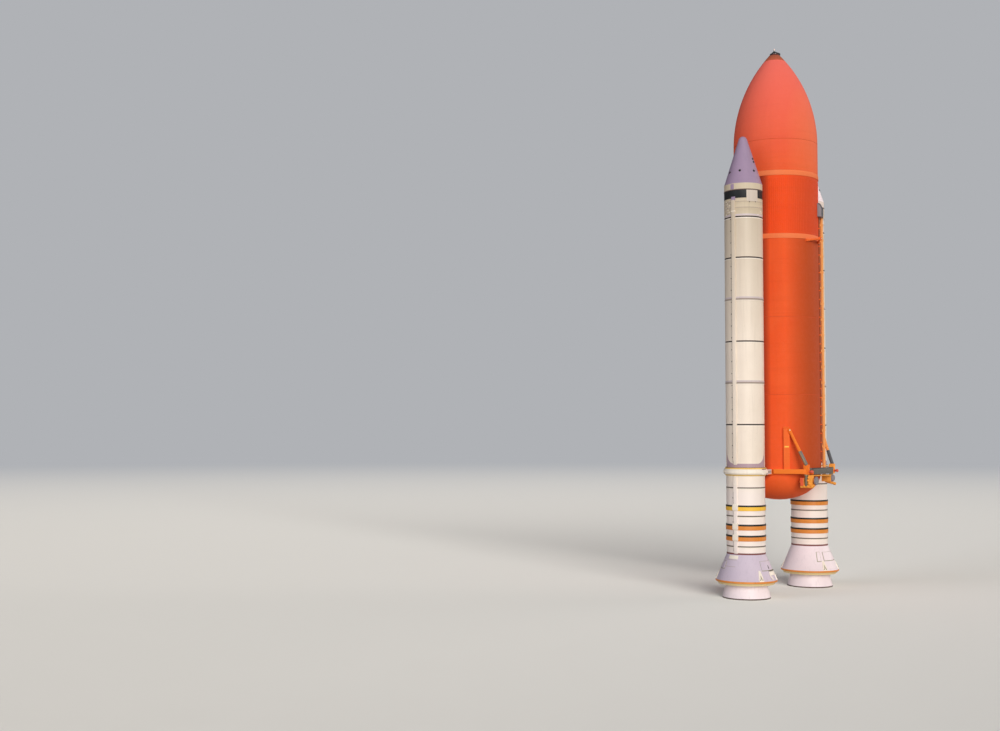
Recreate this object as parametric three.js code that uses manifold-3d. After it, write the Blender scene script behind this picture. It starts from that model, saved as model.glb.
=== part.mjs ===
// A space rocket on display: an orange propellant tank between two white solid boosters
// Half scale, millimetres, +Z up; the hardware that would carry a winged craft faces -Y

import * as THREE from 'three';
import { mergeVertices } from 'three/addons/utils/BufferGeometryUtils.js';
import Module from 'manifold-3d';

const wasm = await Module();
wasm.setup();

// Gap that two touching pieces keep
const seatGap = 0.3;

// How far the root of a piece reaches into tank or booster before it is trimmed off there
const rootDepth = 60;

// By how much a cutting block stands out past what it cuts
const cutMargin = 10;

// Main tank: radii, and heights above the floor
const tankRadius = 2102;
const tankSides = 60;
const ogiveRadius = 7061;
const capBaseHeight = 27419;
const capTopHeight = 27590;
const barrelTopHeight = 22608;
const upperBandTop = 21025;
const upperBandBottom = 20755;
const lowerBandTop = 17856;
const lowerBandBottom = 17606;
const barrelBottomHeight = 6033;
const domeBottomHeight = 4610;
const bandRadius = tankRadius + 25;
const capLip = 18;

// Boosters: radii, distance of each axis from the tank's axis, and heights above the floor
const boosterRadius = 927;
const boosterOffset = 3181;
const boosterSides = 40;
const noseTipHeight = 22598;
const noseTipRadius = 210;
const noseHalfAngle = THREE.MathUtils.degToRad(18);
const noseBaseHeight = 20133;
const motorTopHeight = 18523;
const skirtTopHeight = 2134;
const skirtRimTop = 889;
const skirtRimBottom = 838;
const skirtRimRadius = 1475;
const skirtBaseRadius = 1440;
const curtainTopRadius = 1400;
const curtainBottomRadius = 1340;
const curtainBottom = 690;
const nozzleFootRadius = 1156;
const nozzleNeckRadius = 978;
const nozzleFootEdge = 60;

// Motor segments: name and height of the lower joint
const motorSegments = [
  { name: 'motor_forward', bottom: 14459 },
  { name: 'motor_forward_centre', bottom: 10395 },
  { name: 'motor_aft_centre', bottom: 6331 },
  { name: 'motor_aft', bottom: skirtTopHeight },
];

// Ring that the struts to the tank pull on, round each booster
const attachRingTop = 6312;
const attachRingBottom = 5902;
const attachRingEdgeRadius = 955;
const attachRingOuterRadius = 1060;
const attachRingFlatTop = 6140;
const attachRingFlatBottom = 6020;

// Stiffener rings: lower and upper edge of each
const stiffenerRings = [
  { bottom: 4223, top: 4489 },
  { bottom: 3296, top: 3575 },
  { bottom: 2771, top: 3048 },
];
const stiffenerRadius = 960;

// Cable tunnel down the outboard side of each booster
const tunnelWidth = 190;
const tunnelDepth = 68;
const tunnels = [
  { name: 'upper_tunnel', bottom: 6430, top: 19470 },
  { name: 'lower_tunnel', bottom: 2170, top: 5880 },
];
const tunnelEndSlope = 240;
const tunnelEndShare = 0.4;
const tunnelNotchGap = 1;

// Links between booster and tank
const forwardMountHeight = 19660;
const forwardMountSize = 210;
const aftStrutMiddle = 660;
const aftStrutWidth = 280;
const aftStrutBottom = 5930;
const aftStrutTop = 6190;
const aftStrutRoots = { tank: 260, booster: 220 };

// Oxygen feedline down the front of the tank, and the fairing over its upper end
const feedlineAngle = THREE.MathUtils.degToRad(31);
const feedlineDistance = 2250;
const feedlineRadius = 78;
const feedlineClampPitch = 800;
const feedlineClampTop = 18470;
const feedlineClampCount = 15;
const feedlineClampSize = { width: 150, height: 90, reach: 130 };
const fairingBottom = 18872;
const fairingTop = 19560;
const fairingReach = 2335;
const fairingCrown = 380;
const fairingCrownSteps = 8;
const fairingWidth = 700;
const fairingAngle = THREE.MathUtils.degToRad(25);

// Forward bipod under the intertank
const bipodFootSpread = 560;
const bipodFootHeight = 17545;
const bipodFootStandoff = 30;
const bipodShoe = { width: 160, drop: 60, bandGap: 2, reach: 75, root: 120 };
const bipodApexReach = 2460;
const bipodApexHeight = 17630;
const bipodApexInset = 28;
const bipodStrutRadius = 48;
const spindleSize = 140;

// Aft fittings that hold the winged craft, and their struts
const fittingSpread = 1310;
const fittingWidth = 160;
const fittingBack = 2154;
const fittingFront = 2415;
const fittingBottom = 5950;
const fittingTop = 6430;
const ballReach = 2560;
const ballHeight = 6090;
const ballRadius = 80;
const ballFaceReach = 2620;
const ballNeck = { radius: 45, root: 20 };
const sideStrutDistance = 2192;
const sideStrutWidth = 180;
const sideStrutBottom = 5975;
const sideStrutTop = 6206;
const sideStrutOverrun = 120;
const sideStrutEndInset = 20;
const sideStrutRootEnd = 520;
const thrustStrutRadius = 75;
const thrustSeat = { spread: 1330, reach: 2300, height: 6400 };
const longeronAngle = THREE.MathUtils.degToRad(50);
const longeronWidth = 300;
const longeronDepth = 130;
const longeronTop = 8340;
const longeronSlope = 180;
const strutPinHeight = 8110;
const strutPinAngle = THREE.MathUtils.degToRad(46.5);
const strutPinStandoff = 20;
const strutPinRadius = 86;

// Beam between the two aft fittings, with a lug to each
const crossbeamHalfLength = 1014;
const crossbeamBack = 2285;
const crossbeamFront = 2505;
const crossbeamBottom = 5952;
const crossbeamTop = 6262;
const crossbeamLugHeight = 120;

// Umbilical housings under the fittings: inner and outer side, back and front, lower and upper end
const umbilicals = [
  {
    side: 'left', sign: -1, inner: 1130, outer: 1330, back: 2381, front: 2577, bottom: 5300, top: 5920,
    rodReach: 2250, rodBottom: 5400,
    plate: { spread: 1150, height: 5650, radius: 205, face: 2735 },
  },
  {
    side: 'right', sign: 1, inner: 1064, outer: 1330, back: 1835, front: 2355, bottom: 5540, top: 5890,
    rodReach: 2250, rodBottom: 5800,
    plate: { spread: 1230, height: 5720, radius: 165, face: 2400 },
  },
];
const umbilicalRodSpread = 1290;
const umbilicalRodRadius = 60;
const umbilicalPlateDepth = 45;
const umbilicalNeckRadius = 90;
const umbilicalOverlap = 10;

// Left housing: foot and tab that the hydrogen line from the dome ends in
const hydrogenArm = { inner: 1170, outer: 1290, back: 1925, footTop: 5440, tabFront: 2110, tabTop: 5770 };
const hydrogenLine = { radius: 80, spread: 890, reach: 1720, height: 5600 };

// Right housing: brace that slopes down to a knob in front
const brace = { spread: 1230, radius: 70, back: 1960, backHeight: 5560, front: 2480, frontHeight: 5440 };
const braceKnobRadius = 62;

// Lamp on the very top
const lampBaseRadius = 44;
const lampBaseHeight = 50;
const lampLedge = 6;
const lampGlobeFacet = 0.3;
const lampGlobeRadius = 34;
const lampTopHeight = 27740;

// Finishes: colour, roughness and metalness of each kind of surface
const finishes = {
  tankFoam: { color: 0xee6a35, roughness: 0.85, metalness: 0 },
  paleFoam: { color: 0xf58a4d, roughness: 0.85, metalness: 0 },
  strutFoam: { color: 0xf2803c, roughness: 0.8, metalness: 0 },
  feedlineFoam: { color: 0xf7b06a, roughness: 0.8, metalness: 0 },
  whitePaint: { color: 0xf0e6da, roughness: 0.5, metalness: 0 },
  creamPaint: { color: 0xe9dfc9, roughness: 0.55, metalness: 0 },
  orangePaint: { color: 0xe38c3e, roughness: 0.6, metalness: 0 },
  greyPaint: { color: 0x6a6a6a, roughness: 0.55, metalness: 0.2 },
  darkMetal: { color: 0x3b4248, roughness: 0.5, metalness: 0.5 },
  lampGlass: { color: 0xe9b9a8, roughness: 0.2, metalness: 0 },
};

// Closed solid from a closed geometry, turned the right way out
function solidOf(geometry) {
  const bare = new THREE.BufferGeometry();
  bare.setAttribute('position', geometry.getAttribute('position'));
  bare.setIndex(geometry.getIndex());
  const merged = mergeVertices(bare, 0.001);
  const corners = Array.from(merged.getIndex().array);
  const place = merged.getAttribute('position');
  const a = new THREE.Vector3();
  const b = new THREE.Vector3();
  const c = new THREE.Vector3();
  const faces = [];
  let volume = 0;
  for (let i = 0; i < corners.length; i += 3) {
    const face = corners.slice(i, i + 3);
    if (new Set(face).size === 3) {
      a.fromBufferAttribute(place, face[0]);
      b.fromBufferAttribute(place, face[1]);
      c.fromBufferAttribute(place, face[2]);
      volume += a.dot(b.clone().cross(c));
      faces.push(face);
    }
  }
  const order = volume > 0 ? faces : faces.map(([p, q, r]) => [p, r, q]);
  return new wasm.Manifold(new wasm.Mesh({
    numProp: 3,
    vertProperties: new Float32Array(place.array),
    triVerts: new Uint32Array(order.flat()),
  }));
}

// Geometry of a finished solid
function geometryOf(solid) {
  const mesh = solid.getMesh();
  const geometry = new THREE.BufferGeometry();
  geometry.setAttribute('position', new THREE.BufferAttribute(new Float32Array(mesh.vertProperties), 3));
  geometry.setIndex(new THREE.BufferAttribute(new Uint32Array(mesh.triVerts), 1));
  geometry.computeVertexNormals();
  return geometry;
}

// Solid of revolution about the vertical axis from [radius, height] pairs
function revolve(profile, sides) {
  const points = profile.map(([radius, height]) => new THREE.Vector2(radius, height));
  return solidOf(new THREE.LatheGeometry(points, sides).rotateX(Math.PI / 2));
}

// Block between two corners
function block(low, high) {
  const size = [0, 1, 2].map((i) => high[i] - low[i]);
  const middle = [0, 1, 2].map((i) => (high[i] + low[i]) / 2);
  return solidOf(new THREE.BoxGeometry(...size).toNonIndexed().translate(...middle));
}

// Straight round bar between two points
function rod(start, end, radius, sides = 14) {
  const from = new THREE.Vector3(...start);
  const to = new THREE.Vector3(...end);
  const length = from.distanceTo(to);
  const turn = new THREE.Quaternion().setFromUnitVectors(
    new THREE.Vector3(0, 1, 0),
    to.clone().sub(from).normalize(),
  );
  const bar = new THREE.CylinderGeometry(radius, radius, length, sides).applyQuaternion(turn);
  bar.translate(...from.add(to).multiplyScalar(0.5).toArray());
  return solidOf(bar);
}

// Ball
function ball(centre, radius) {
  return solidOf(new THREE.SphereGeometry(radius, 16, 10).translate(...centre));
}

// Solid extruded along the tank's radius: outline in [reach, height], at an angle from the front
function radialSlab(outline, width, angle) {
  const shape = new THREE.Shape(outline.map(([reach, height]) => new THREE.Vector2(reach, height)));
  const slab = new THREE.ExtrudeGeometry(shape, { depth: width, bevelEnabled: false });
  slab.translate(0, 0, -width / 2);
  slab.rotateX(Math.PI / 2);
  slab.rotateZ(angle - Math.PI / 2);
  return solidOf(slab);
}

// Point at an angle from the front, at a distance from the tank's axis
function atAngle(angle, distance, height) {
  return [distance * Math.sin(angle), -distance * Math.cos(angle), height];
}

// Radius of the tank's nose at a height
function ogiveRadiusAt(height) {
  const rise = height - barrelTopHeight;
  return tankRadius - ogiveRadius + Math.sqrt(ogiveRadius ** 2 - rise ** 2);
}

// Sides of the ogive between two heights, from the top down
function ogiveProfile(top, bottom, steps) {
  return Array.from({ length: steps + 1 }, (_, i) => {
    const height = top + (bottom - top) * (i / steps) ** 0.8;
    return [ogiveRadiusAt(height), height];
  });
}

// Dome under the tank from the barrel down, grown by a clearance
function domeProfile(steps, growth = 0) {
  const depth = barrelBottomHeight - domeBottomHeight + growth;
  return Array.from({ length: steps + 1 }, (_, i) => {
    const turn = (Math.PI / 2) * (i / steps);
    const radius = i === steps ? 0 : (tankRadius + growth) * Math.cos(turn);
    return [radius, barrelBottomHeight - depth * Math.sin(turn)];
  });
}

const rocket = new THREE.Group();

// Adds one named piece to a group
function addPiece(group, name, solid, finish) {
  const mesh = new THREE.Mesh(geometryOf(solid), new THREE.MeshStandardMaterial(finishes[finish]));
  mesh.name = name;
  group.add(mesh);
}

// Outer shape of tank and booster with the seat gap added, to trim what is fastened to them
const growth = seatGap / Math.cos(Math.PI / boosterSides);
const tankEnvelope = revolve([
  [0, barrelTopHeight],
  [tankRadius + growth, barrelTopHeight],
  [tankRadius + growth, upperBandTop + growth],
  [bandRadius + growth, upperBandTop + growth],
  [bandRadius + growth, upperBandBottom - growth],
  [tankRadius + growth, upperBandBottom - growth],
  [tankRadius + growth, lowerBandTop + growth],
  [bandRadius + growth, lowerBandTop + growth],
  [bandRadius + growth, lowerBandBottom - growth],
  [tankRadius + growth, lowerBandBottom - growth],
  ...domeProfile(8, growth),
], tankSides);
const boosterEnvelope = revolve([
  [0, noseBaseHeight],
  [boosterRadius + growth, noseBaseHeight],
  [boosterRadius + growth, skirtTopHeight],
  [0, skirtTopHeight],
], boosterSides);

// Main tank, from the top down
function addTank() {
  addPiece(rocket, 'nose_cap', revolve([
    [0, capTopHeight],
    [lampBaseRadius + lampLedge, capTopHeight],
    [ogiveRadiusAt(capBaseHeight) + capLip, capBaseHeight + seatGap],
    [0, capBaseHeight + seatGap],
  ], 32), 'darkMetal');
  addPiece(rocket, 'oxygen_tank', revolve([
    [0, capBaseHeight],
    ...ogiveProfile(capBaseHeight, barrelTopHeight, 11),
    [tankRadius, upperBandTop + seatGap],
    [0, upperBandTop + seatGap],
  ], tankSides), 'tankFoam');
  const drums = [
    { name: 'upper_flange_band', bottom: upperBandBottom, isBand: true },
    { name: 'intertank', bottom: lowerBandTop, isBand: false },
    { name: 'lower_flange_band', bottom: lowerBandBottom, isBand: true },
    { name: 'hydrogen_tank', bottom: barrelBottomHeight, isBand: false },
  ];
  let top = upperBandTop;
  for (const { name, bottom, isBand } of drums) {
    const radius = isBand ? bandRadius : tankRadius;
    addPiece(rocket, name, revolve([
      [0, top],
      [radius, top],
      [radius, bottom + seatGap],
      [0, bottom + seatGap],
    ], tankSides), isBand ? 'paleFoam' : 'tankFoam');
    top = bottom;
  }
  addPiece(rocket, 'aft_dome', revolve([[0, barrelBottomHeight], ...domeProfile(8)], tankSides), 'tankFoam');
}

// Lamp on the nose cap
function addNoseLamp() {
  const base = capTopHeight + seatGap;
  const shoulder = base + lampBaseHeight;
  addPiece(rocket, 'nose_lamp', revolve([
    [0, lampTopHeight],
    [lampGlobeRadius * (1 - lampGlobeFacet), lampTopHeight - lampGlobeRadius * lampGlobeFacet],
    [lampGlobeRadius, lampTopHeight - lampGlobeRadius],
    [lampGlobeRadius, shoulder],
    [lampBaseRadius, shoulder],
    [lampBaseRadius, base],
    [0, base],
  ], 16), 'lampGlass');
}

// Feedline with its clamps, from the fairing that it comes out of down to the right umbilical housing
function addFeedline() {
  const foot = atAngle(feedlineAngle, feedlineDistance, umbilicals[1].top + seatGap);
  const top = atAngle(feedlineAngle, feedlineDistance, fairingBottom - seatGap);
  let feedline = rod(foot, top, feedlineRadius, 20);
  for (let i = 0; i < feedlineClampCount; i += 1) {
    const height = feedlineClampTop - i * feedlineClampPitch;
    const clamp = radialSlab([
      [tankRadius - rootDepth, height],
      [tankRadius + feedlineClampSize.reach, height],
      [tankRadius + feedlineClampSize.reach, height + feedlineClampSize.height],
      [tankRadius - rootDepth, height + feedlineClampSize.height],
    ], feedlineClampSize.width, feedlineAngle);
    feedline = feedline.add(clamp);
  }
  addPiece(rocket, 'feedline', feedline.subtract(tankEnvelope), 'feedlineFoam');

  const crown = Array.from({ length: fairingCrownSteps + 1 }, (_, i) => {
    const turn = (Math.PI / 2) * (i / fairingCrownSteps);
    return [
      tankRadius + (fairingReach - tankRadius) * Math.cos(turn),
      fairingTop - fairingCrown * (1 - Math.sin(turn)),
    ];
  });
  const fairing = radialSlab([
    [tankRadius - rootDepth, fairingBottom],
    [fairingReach, fairingBottom],
    ...crown,
    [tankRadius - rootDepth, fairingTop],
  ], fairingWidth, fairingAngle).subtract(tankEnvelope);
  addPiece(rocket, 'feedline_fairing', fairing, 'greyPaint');
}

// Two bipod struts that meet at the spindle in front of the tank
function addBipod() {
  const half = spindleSize / 2;
  const spindle = block(
    [-half, -bipodApexReach - half, bipodApexHeight - half],
    [half, -bipodApexReach + half, bipodApexHeight + half],
  );
  const spindleEnvelope = block(
    [-half - seatGap, -bipodApexReach - half, bipodApexHeight - half - seatGap],
    [half + seatGap, -bipodApexReach + half + seatGap, bipodApexHeight + half + seatGap],
  );
  addPiece(rocket, 'bipod_spindle', spindle, 'orangePaint');
  for (const [side, sign] of [['left', -1], ['right', 1]]) {
    const footReach = Math.sqrt(tankRadius ** 2 - bipodFootSpread ** 2);
    const foot = [sign * bipodFootSpread, -footReach - bipodFootStandoff, bipodFootHeight];
    const shoe = block(
      [foot[0] - bipodShoe.width / 2, -footReach - bipodShoe.reach, bipodFootHeight - bipodShoe.drop],
      [foot[0] + bipodShoe.width / 2, -footReach + bipodShoe.root, lowerBandBottom - bipodShoe.bandGap],
    );
    const apex = [sign * bipodApexInset, -bipodApexReach + bipodApexInset, bipodApexHeight];
    const strut = rod(foot, apex, bipodStrutRadius)
      .add(shoe)
      .subtract(spindleEnvelope)
      .subtract(tankEnvelope);
    addPiece(rocket, `bipod_strut_${side}`, strut, 'strutFoam');
  }
}

// Block of the aft fitting on one side, grown by a clearance
function fittingBlock(sign, extra = 0) {
  const x = sign * fittingSpread;
  return block(
    [x - fittingWidth / 2 - extra, -fittingFront - extra, fittingBottom - extra],
    [x + fittingWidth / 2 + extra, -fittingBack + extra, fittingTop + extra],
  );
}

// Bar that runs from the side of the tank to the aft fitting, tangent to the tank
function sideStrut(sign) {
  const fittingMiddle = (fittingBack + fittingFront) / 2;
  const fittingDistance = Math.hypot(fittingSpread, fittingMiddle);
  const fittingAngle = Math.atan2(fittingSpread, fittingMiddle);
  const tangentAngle = fittingAngle + Math.acos(sideStrutDistance / fittingDistance);
  const reach = Math.sqrt(fittingDistance ** 2 - sideStrutDistance ** 2) - sideStrutEndInset;
  const bar = block(
    [sideStrutDistance - sideStrutWidth / 2 - rootDepth, -reach, sideStrutBottom],
    [sideStrutDistance + sideStrutWidth / 2, sideStrutOverrun, sideStrutTop],
  );
  const inner = block(
    [sideStrutDistance - sideStrutWidth, -reach - cutMargin, sideStrutBottom - cutMargin],
    [sideStrutDistance - sideStrutWidth / 2, -sideStrutRootEnd, sideStrutTop + cutMargin],
  );
  const turned = bar.subtract(inner).rotate([0, 0, THREE.MathUtils.radToDeg(tangentAngle) - 90]);
  const sided = sign > 0 ? turned : turned.mirror([1, 0, 0]);
  return sided.subtract(tankEnvelope).subtract(fittingBlock(sign, seatGap));
}

// Long foot on the tank that takes the pull of the thrust strut
function longeron(sign, extra = 0) {
  const outer = tankRadius + longeronDepth + extra;
  return radialSlab([
    [tankRadius - rootDepth, sideStrutTop + seatGap - extra],
    [outer, sideStrutTop + seatGap - extra],
    [outer, longeronTop - longeronSlope + extra],
    [tankRadius - rootDepth, longeronTop + extra],
  ], longeronWidth + 2 * extra, sign * longeronAngle);
}

// Struts, fittings and balls at the lower end of the tank
function addAftHardware() {
  for (const [side, sign] of [['left', -1], ['right', 1]]) {
    addPiece(rocket, `side_strut_${side}`, sideStrut(sign), 'strutFoam');
    addPiece(rocket, `longeron_${side}`, longeron(sign).subtract(tankEnvelope), 'strutFoam');
    const pinDistance = tankRadius + longeronDepth + strutPinStandoff;
    const pin = atAngle(sign * strutPinAngle, pinDistance, strutPinHeight);
    const seat = [sign * thrustSeat.spread, -thrustSeat.reach, thrustSeat.height];
    const thrustStrut = rod(pin, seat, thrustStrutRadius, 16)
      .add(ball(pin, strutPinRadius))
      .subtract(longeron(sign, seatGap))
      .subtract(fittingBlock(sign, seatGap))
      .subtract(tankEnvelope);
    addPiece(rocket, `thrust_strut_${side}`, thrustStrut, 'strutFoam');
    const ballCentre = [sign * fittingSpread, -ballReach, ballHeight];
    const neck = [sign * fittingSpread, -fittingFront + ballNeck.root, ballHeight];
    const fitting = fittingBlock(sign)
      .add(rod(neck, ballCentre, ballNeck.radius))
      .add(ball(ballCentre, ballRadius))
      .subtract(block(
        [sign * fittingSpread - ballRadius, -ballFaceReach - ballRadius, ballHeight - ballRadius],
        [sign * fittingSpread + ballRadius, -ballFaceReach, ballHeight + ballRadius],
      ));
    addPiece(rocket, `aft_fitting_${side}`, fitting, 'orangePaint');
  }
  const lugEnd = fittingSpread - fittingWidth / 2 - seatGap;
  const beam = block(
    [-crossbeamHalfLength, -crossbeamFront, crossbeamBottom],
    [crossbeamHalfLength, -crossbeamBack, crossbeamTop],
  ).add(block(
    [-lugEnd, -fittingFront, crossbeamTop - crossbeamLugHeight],
    [lugEnd, -crossbeamBack, crossbeamTop],
  ));
  addPiece(rocket, 'crossbeam', beam, 'greyPaint');
}

// Foot, tab and hydrogen line of the left housing
function hydrogenParts(housing) {
  const { inner, outer, back, footTop, tabFront, tabTop } = hydrogenArm;
  const outlet = [-hydrogenLine.spread, -hydrogenLine.reach, hydrogenLine.height];
  const inlet = [-(inner + outer) / 2, -(back + tabFront) / 2, hydrogenLine.height];
  return block([-outer, -housing.back - umbilicalOverlap, housing.bottom], [-inner, -back, footTop])
    .add(block([-outer, -tabFront, housing.bottom], [-inner, -back, tabTop]))
    .add(rod(outlet, inlet, hydrogenLine.radius, 20))
    .subtract(tankEnvelope);
}

// Brace and knob of the right housing
function braceParts() {
  const back = [brace.spread, -brace.back, brace.backHeight];
  const front = [brace.spread, -brace.front, brace.frontHeight];
  return rod(back, front, brace.radius, 16).add(ball(front, braceKnobRadius));
}

// Umbilical housings, each hung from its fitting by a rod
function addUmbilicals() {
  for (const housing of umbilicals) {
    const { sign, plate } = housing;
    const across = [sign * housing.inner, sign * housing.outer];
    const plateAt = (reach) => [sign * plate.spread, -reach, plate.height];
    const rodAt = (height) => [sign * umbilicalRodSpread, -housing.rodReach, height];
    const plateBack = plate.face - umbilicalPlateDepth;
    const neckEnds = [housing.front - umbilicalOverlap, plateBack + umbilicalOverlap];
    const low = [Math.min(...across), -housing.front, housing.bottom];
    const high = [Math.max(...across), -housing.back, housing.top];
    const body = block(low, high)
      .add(rod(...neckEnds.map(plateAt), umbilicalNeckRadius, 20))
      .add(rod(plateAt(plateBack), plateAt(plate.face), plate.radius, 24))
      .add(rod(rodAt(housing.rodBottom), rodAt(fittingBottom - seatGap), umbilicalRodRadius))
      .add(sign < 0 ? hydrogenParts(housing) : braceParts());
    addPiece(rocket, `umbilical_${housing.side}`, body, 'feedlineFoam');
  }
}

// Ring round a booster for the aft struts, grown by a clearance
function attachRing(extra = 0) {
  return revolve([
    [boosterRadius + growth - extra, attachRingTop + extra],
    [attachRingEdgeRadius + extra, attachRingTop + extra],
    [attachRingOuterRadius + extra, attachRingFlatTop + extra],
    [attachRingOuterRadius + extra, attachRingFlatBottom - extra],
    [attachRingEdgeRadius + extra, attachRingBottom - extra],
    [boosterRadius + growth - extra, attachRingBottom - extra],
    [boosterRadius + growth - extra, attachRingTop + extra],
  ], boosterSides);
}

// Rounded cone on top of a booster
function noseCone() {
  const slope = Math.tan(noseHalfAngle);
  const centreHeight = noseTipHeight - noseTipRadius;
  const tip = Array.from({ length: 5 }, (_, i) => {
    const turn = (Math.PI / 2 - noseHalfAngle) * (i / 4);
    return [i === 0 ? 0 : noseTipRadius * Math.sin(turn), centreHeight + noseTipRadius * Math.cos(turn)];
  });
  const [lastRadius, lastHeight] = tip[tip.length - 1];
  const baseRadius = Math.min(boosterRadius, lastRadius + (lastHeight - noseBaseHeight) * slope);
  const base = noseBaseHeight + seatGap;
  return revolve([...tip, [baseRadius, base], [0, base]], boosterSides);
}

// One booster, standing on its nozzle, with its cable tunnel on the outboard side
function addBooster(side, sign) {
  const booster = new THREE.Group();
  booster.position.x = sign * boosterOffset;
  rocket.add(booster);
  const nameOf = (piece) => `${side}_booster_${piece}`;

  addPiece(booster, nameOf('nose_cone'), noseCone(), 'whitePaint');
  const drums = [{ name: 'forward_skirt', bottom: motorTopHeight }, ...motorSegments];
  let top = noseBaseHeight;
  for (const drum of drums) {
    addPiece(booster, nameOf(drum.name), revolve([
      [0, top],
      [boosterRadius, top],
      [boosterRadius, drum.bottom + seatGap],
      [0, drum.bottom + seatGap],
    ], boosterSides), 'whitePaint');
    top = drum.bottom;
  }

  for (const tunnel of tunnels) {
    const cover = radialSlab([
      [boosterRadius - rootDepth, tunnel.bottom],
      [boosterRadius + tunnelDepth * tunnelEndShare, tunnel.bottom],
      [boosterRadius + tunnelDepth, tunnel.bottom + tunnelEndSlope],
      [boosterRadius + tunnelDepth, tunnel.top - tunnelEndSlope],
      [boosterRadius + tunnelDepth * tunnelEndShare, tunnel.top],
      [boosterRadius - rootDepth, tunnel.top],
    ], tunnelWidth, sign * Math.PI / 2);
    addPiece(booster, nameOf(tunnel.name), cover.subtract(boosterEnvelope), 'creamPaint');
  }

  addPiece(booster, nameOf('attach_ring'), attachRing(), 'whitePaint');
  const notchReach = sign * attachRingOuterRadius;
  const notchHalf = tunnelWidth / 2 + tunnelNotchGap;
  const notch = block(
    [Math.min(0, notchReach), -notchHalf, 0],
    [Math.max(0, notchReach), notchHalf, attachRingTop],
  );
  stiffenerRings.forEach((ring, i) => {
    const hoop = revolve([
      [boosterRadius + growth, ring.top],
      [stiffenerRadius, ring.top],
      [stiffenerRadius, ring.bottom],
      [boosterRadius + growth, ring.bottom],
      [boosterRadius + growth, ring.top],
    ], boosterSides);
    addPiece(booster, nameOf(`stiffener_ring_${i + 1}`), hoop.subtract(notch), 'orangePaint');
  });

  addPiece(booster, nameOf('aft_skirt'), revolve([
    [0, skirtTopHeight],
    [boosterRadius, skirtTopHeight],
    [skirtBaseRadius, skirtRimTop],
    [skirtRimRadius, skirtRimTop],
    [skirtRimRadius, skirtRimBottom],
    [curtainTopRadius, skirtRimBottom],
    [curtainBottomRadius, curtainBottom],
    [0, curtainBottom],
  ], boosterSides), 'whitePaint');
  addPiece(booster, nameOf('nozzle'), revolve([
    [0, curtainBottom - seatGap],
    [nozzleNeckRadius, curtainBottom - seatGap],
    [nozzleFootRadius, nozzleFootEdge],
    [nozzleFootRadius, 0],
    [0, 0],
  ], boosterSides), 'whitePaint');
}

// What holds a booster to the tank: a forward mount and two aft struts
function addBoosterLinks(side, sign) {
  const boosterHere = boosterEnvelope.translate([sign * boosterOffset, 0, 0]);
  const ringHere = attachRing(seatGap).translate([sign * boosterOffset, 0, 0]);
  const between = (inner, outer) => [sign * inner, sign * outer].sort((a, b) => a - b);
  const boosterInside = boosterOffset - boosterRadius;
  const [mountLow, mountHigh] = between(tankRadius - rootDepth, boosterInside + rootDepth);
  const half = forwardMountSize / 2;
  const mountBottom = forwardMountHeight - half;
  const mount = block([mountLow, -half, mountBottom], [mountHigh, half, mountBottom + forwardMountSize])
    .subtract(tankEnvelope)
    .subtract(boosterHere);
  addPiece(rocket, `${side}_booster_forward_mount`, mount, 'paleFoam');

  const [strutLow, strutHigh] = between(
    tankRadius - aftStrutRoots.tank,
    boosterInside + aftStrutRoots.booster,
  );
  for (const [place, facing] of [['front', -1], ['rear', 1]]) {
    const near = facing * aftStrutMiddle - aftStrutWidth / 2;
    const strut = block([strutLow, near, aftStrutBottom], [strutHigh, near + aftStrutWidth, aftStrutTop])
      .subtract(tankEnvelope)
      .subtract(ringHere)
      .subtract(boosterHere);
    addPiece(rocket, `${side}_booster_${place}_strut`, strut, 'creamPaint');
  }
}

addTank();
addNoseLamp();
addFeedline();
addBipod();
addAftHardware();
addUmbilicals();
for (const [side, sign] of [['left', -1], ['right', 1]]) {
  addBooster(side, sign);
  addBoosterLinks(side, sign);
}

// The origin is the middle of the box on the floor
const frontReach = umbilicals[0].plate.face;
rocket.position.y = (frontReach - bandRadius) / 2;

const part = new THREE.Group();
part.add(rocket);

export default part;
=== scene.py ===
import math

import bmesh
import bpy
from mathutils import Matrix, Vector


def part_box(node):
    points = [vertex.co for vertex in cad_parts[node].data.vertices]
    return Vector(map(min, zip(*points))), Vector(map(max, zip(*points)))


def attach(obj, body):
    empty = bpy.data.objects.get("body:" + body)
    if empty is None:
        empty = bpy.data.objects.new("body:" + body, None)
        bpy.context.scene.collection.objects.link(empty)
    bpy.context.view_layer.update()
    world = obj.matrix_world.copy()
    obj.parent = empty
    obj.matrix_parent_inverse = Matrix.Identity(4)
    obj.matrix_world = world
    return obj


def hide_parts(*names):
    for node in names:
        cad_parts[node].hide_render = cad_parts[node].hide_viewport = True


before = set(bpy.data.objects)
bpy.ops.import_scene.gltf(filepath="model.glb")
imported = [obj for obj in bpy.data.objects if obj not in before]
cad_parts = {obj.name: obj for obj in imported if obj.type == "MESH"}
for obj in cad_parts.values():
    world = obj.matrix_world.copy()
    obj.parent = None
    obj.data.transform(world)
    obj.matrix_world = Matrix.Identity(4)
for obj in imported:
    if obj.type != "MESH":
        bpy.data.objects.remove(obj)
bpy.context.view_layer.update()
scene = bpy.context.scene
scene.view_settings.view_transform = "Standard"
bothSides = (("left", -1), ("right", 1))
creaseAngle = math.radians(32)  # edges sharper than this stay sharp
print("frame loaded:", len(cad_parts), "nodes")


def addObject(name, data):
    made = bpy.data.objects.new(name, data)
    scene.collection.objects.link(made)
    return made


# Empties the node tree of a material or a world
def emptyTree(owner):
    owner.use_nodes = True
    owner.node_tree.nodes.clear()
    return owner.node_tree


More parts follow.
